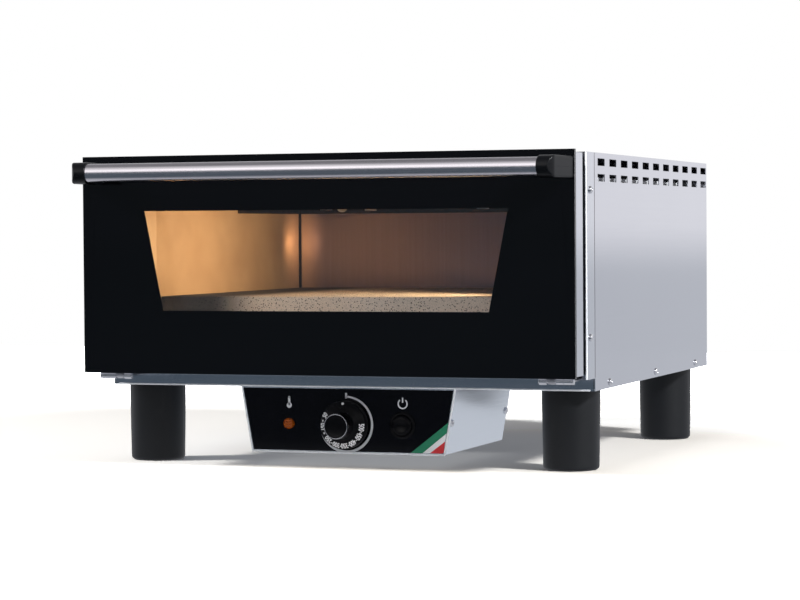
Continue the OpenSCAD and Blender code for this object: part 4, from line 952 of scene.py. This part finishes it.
def boxEdges(rim):
    # the polished edge of the control box shows round the panel at its sides and bottom, its brightness a
    # painted highlight
    low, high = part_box("control_box")
    r, y, top = rim["radius"], low.y + rim["sunk"], high.z - rim["radius"]
    corners = [(-high.x, top), (-rim["footX"], low.z), (rim["footX"], low.z), (high.x, top)]
    return [bead((x0, y, z0), (x1, y, z1), r) for (x0, z0), (x1, z1) in zip(corners, corners[1:])]


surface("boxEdges", boxEdges(boxRim), "edgeGlint", "casing", angle=60)

# the chamber's inside: half its width, and its rear wall
chamber = {"wall": 0.212, "rear": faceY + 0.475}
weld = {"radius": 0.0019, "out": 0.0009, "low": 0.1805, "high": 0.283}


def cornerSeams(chamber, weld):
    # a dark welded bead stands in each rear corner of the chamber
    x, y = chamber["wall"] - weld["out"], chamber["rear"] - weld["out"]
    return [bead((side * x, y, weld["low"]), (side * x, y, weld["high"]), weld["radius"]) for side in (-1, 1)]


surface("cornerSeams", cornerSeams(chamber, weld), "seamAndShadowSteel", "casing", angle=60)


def plainBar(first, last):
    # a plain bar: a rectangle's four corners carried from end to end and closed on its middle
    (x0, x1), (y0, y1), (z0, z1) = (sorted(pair) for pair in zip(first, last))
    return slabAlong(np.array([(x0, z0), (x1, z0)]), np.array([(x0, z1), (x1, z1)]), y0, y1)


darkBand = {"low": 0.2695, "high": 0.2855, "thick": 0.0016, "rearThick": 0.00144, "sideLong": 0.19,
          "clear": 0.0001}


def ceilingDarkBars(chamber, darkBand):
    # dark bars along the top of the rear wall and of the rear half of the side walls, just beneath the
    # ceiling
    low, high = darkBand["low"], darkBand["high"]
    inside, back = chamber["wall"] - darkBand["thick"], chamber["rear"] - darkBand["thick"]
    wall = chamber["wall"] - darkBand["clear"]
    return ([plainBar((-inside, back, low), (inside, back + darkBand["rearThick"], high))]
            + [plainBar((side * inside, back - darkBand["sideLong"], low), (side * wall, back, high))
               for side in (-1, 1)])


surface("ceilingDarkBand", ceilingDarkBars(chamber, darkBand), "seamAndShadowSteel", "casing", angle=30)

shadowLine = {"sunk": 0.0002, "proud": 0.00012, "half": 0.00035, "fromPan": 0.014, "fromTop": 0.0005}


def coverSeams(line):
    # the narrow shadow line where the cover meets the front frame
    x, y = frameHigh.x, frameHigh.y
    return [plainBar((side * (x - line["sunk"]), y - line["half"], panLow.z + line["fromPan"]),
                     (side * (x + line["proud"]), y + line["half"], frameHigh.z - line["fromTop"]))
            for side in (-1, 1)]


surface("coverSeams", coverSeams(shadowLine), "seamAndShadowSteel", "casing", angle=30)
print("hems, seams and flanges made")

lens = {"x": -0.0655, "z": 0.0445, "radius": 0.00575, "rise": 0.0052, "fall": 0.3, "facet": 0.0026,
        "deep": 0.0007}


def pilotDome(lens):
    # a low dome whose front is cut into small pyramids: the height falls along both diagonals of
    # a square grid; its rim goes straight back to the panel and closes on the axis
    t = np.linspace(0, 0.96, 30)
    radius = np.concatenate([t, [1, 1, 1, 0]])[:, None]
    rise = np.concatenate([1 - lens["fall"] * t ** 2.2, [0.62, 0.3, -0.1, -0.1]])[:, None]
    turn = np.linspace(0, 2 * np.pi, 97)
    x, z = lens["radius"] * radius * np.cos(turn), lens["radius"] * radius * np.sin(turn)
    wave = np.abs(x / lens["facet"] % 1 - 0.5) + np.abs(z / lens["facet"] % 1 - 0.5)
    height = lens["rise"] * rise - lens["deep"] * 2 * wave * (radius < 0.94)
    height[-1] = height[-2]
    return np.stack([lens["x"] + x, panelY - height, lens["z"] + z], -1)


surface("pilotDome", [pilotDome(lens)], "amberLens", "casing", ["pilot_lens"], angle=18)
print("pilot lens made")

# under, near and far are what the camera sees, others what matt surfaces see, and front and behind
# what metal and glass see; shade is the middle of the painted shadow, a darker floor beneath the oven
floorLook = {"half": 2.3, "drop": 0.0002, "under": (0.95, 0.9, 0.83, 1), "near": (1.32, 1.3, 1.26, 1),
             "far": (6, 6, 6, 1), "others": (0.8, 0.8, 0.8, 1), "front": (0.095, 0.12, 0.145, 1),
             "behind": (0.6, 0.62, 0.665, 1), "frontEdge": (-0.46, -0.3), "shade": (0.16, 0.02, 0),
             "shadeEdge": (0.26, 0.46), "farEdge": (0.75, 1.6)}


def layFloor(look):
    # a white floor: its colour counts for more to the camera, so that it runs out to white and
    # keeps the object's shadow; metal and glass see the studio's floor, dark in front
    h = look["half"]
    mesh = bpy.data.meshes.new("floor")
    mesh.from_pydata([(-h, -h, 0), (h, -h, 0), (h, h, 0), (-h, h, 0)], [], [(0, 1, 2, 3)])
    floor = newObject("floor", mesh)
    floor.location = (0, 0, -look["drop"])
    material, tree, shader = newMaterial("floorWhite")
    tree.nodes.remove(shader)
    ray = put(tree, "LightPath", -700, 0).outputs
    where = put(tree, "TexCoord", -900, 360).outputs["Object"]
    away = put(tree, "VectorMath", -700, 240, {0: where}, operation="LENGTH")
    apart = put(tree, "VectorMath", -700, 480, {0: where, 1: look["shade"]}, operation="DISTANCE")
    far = remap(tree, -480, 240, away.outputs["Value"], look["farEdge"], smooth=True)
    # painted shadow: the floor's colour darkens round shade, beneath the oven, to deepen its shadow
    outside = remap(tree, -480, 480, apart.outputs["Value"], look["shadeEdge"], smooth=True)
    close = blendColors(tree, -420, 400, outside, look["under"], look["near"])
    white = blendColors(tree, -260, 300, far, close, look["far"])
    dull = put(tree, "BsdfDiffuse", 60, 200,
               {"Color": blendColors(tree, -100, 300, ray["Is Camera Ray"], look["others"], white)})
    back = remap(tree, -480, -240, axes(tree, -900, -240)["Y"], look["frontEdge"], smooth=True)
    glow = put(tree, "Emission", 60, -100,
               {"Color": blendColors(tree, -260, -240, back, look["front"], look["behind"])})
    shiny = reckon(tree, -260, 180, "MAXIMUM", ray["Is Glossy Ray"], ray["Is Transmission Ray"])
    showEither(tree, shiny, dull, glow)
    mesh.materials.append(material)


layFloor(floorLook)
print("floor laid")

bpy.context.view_layer.update()
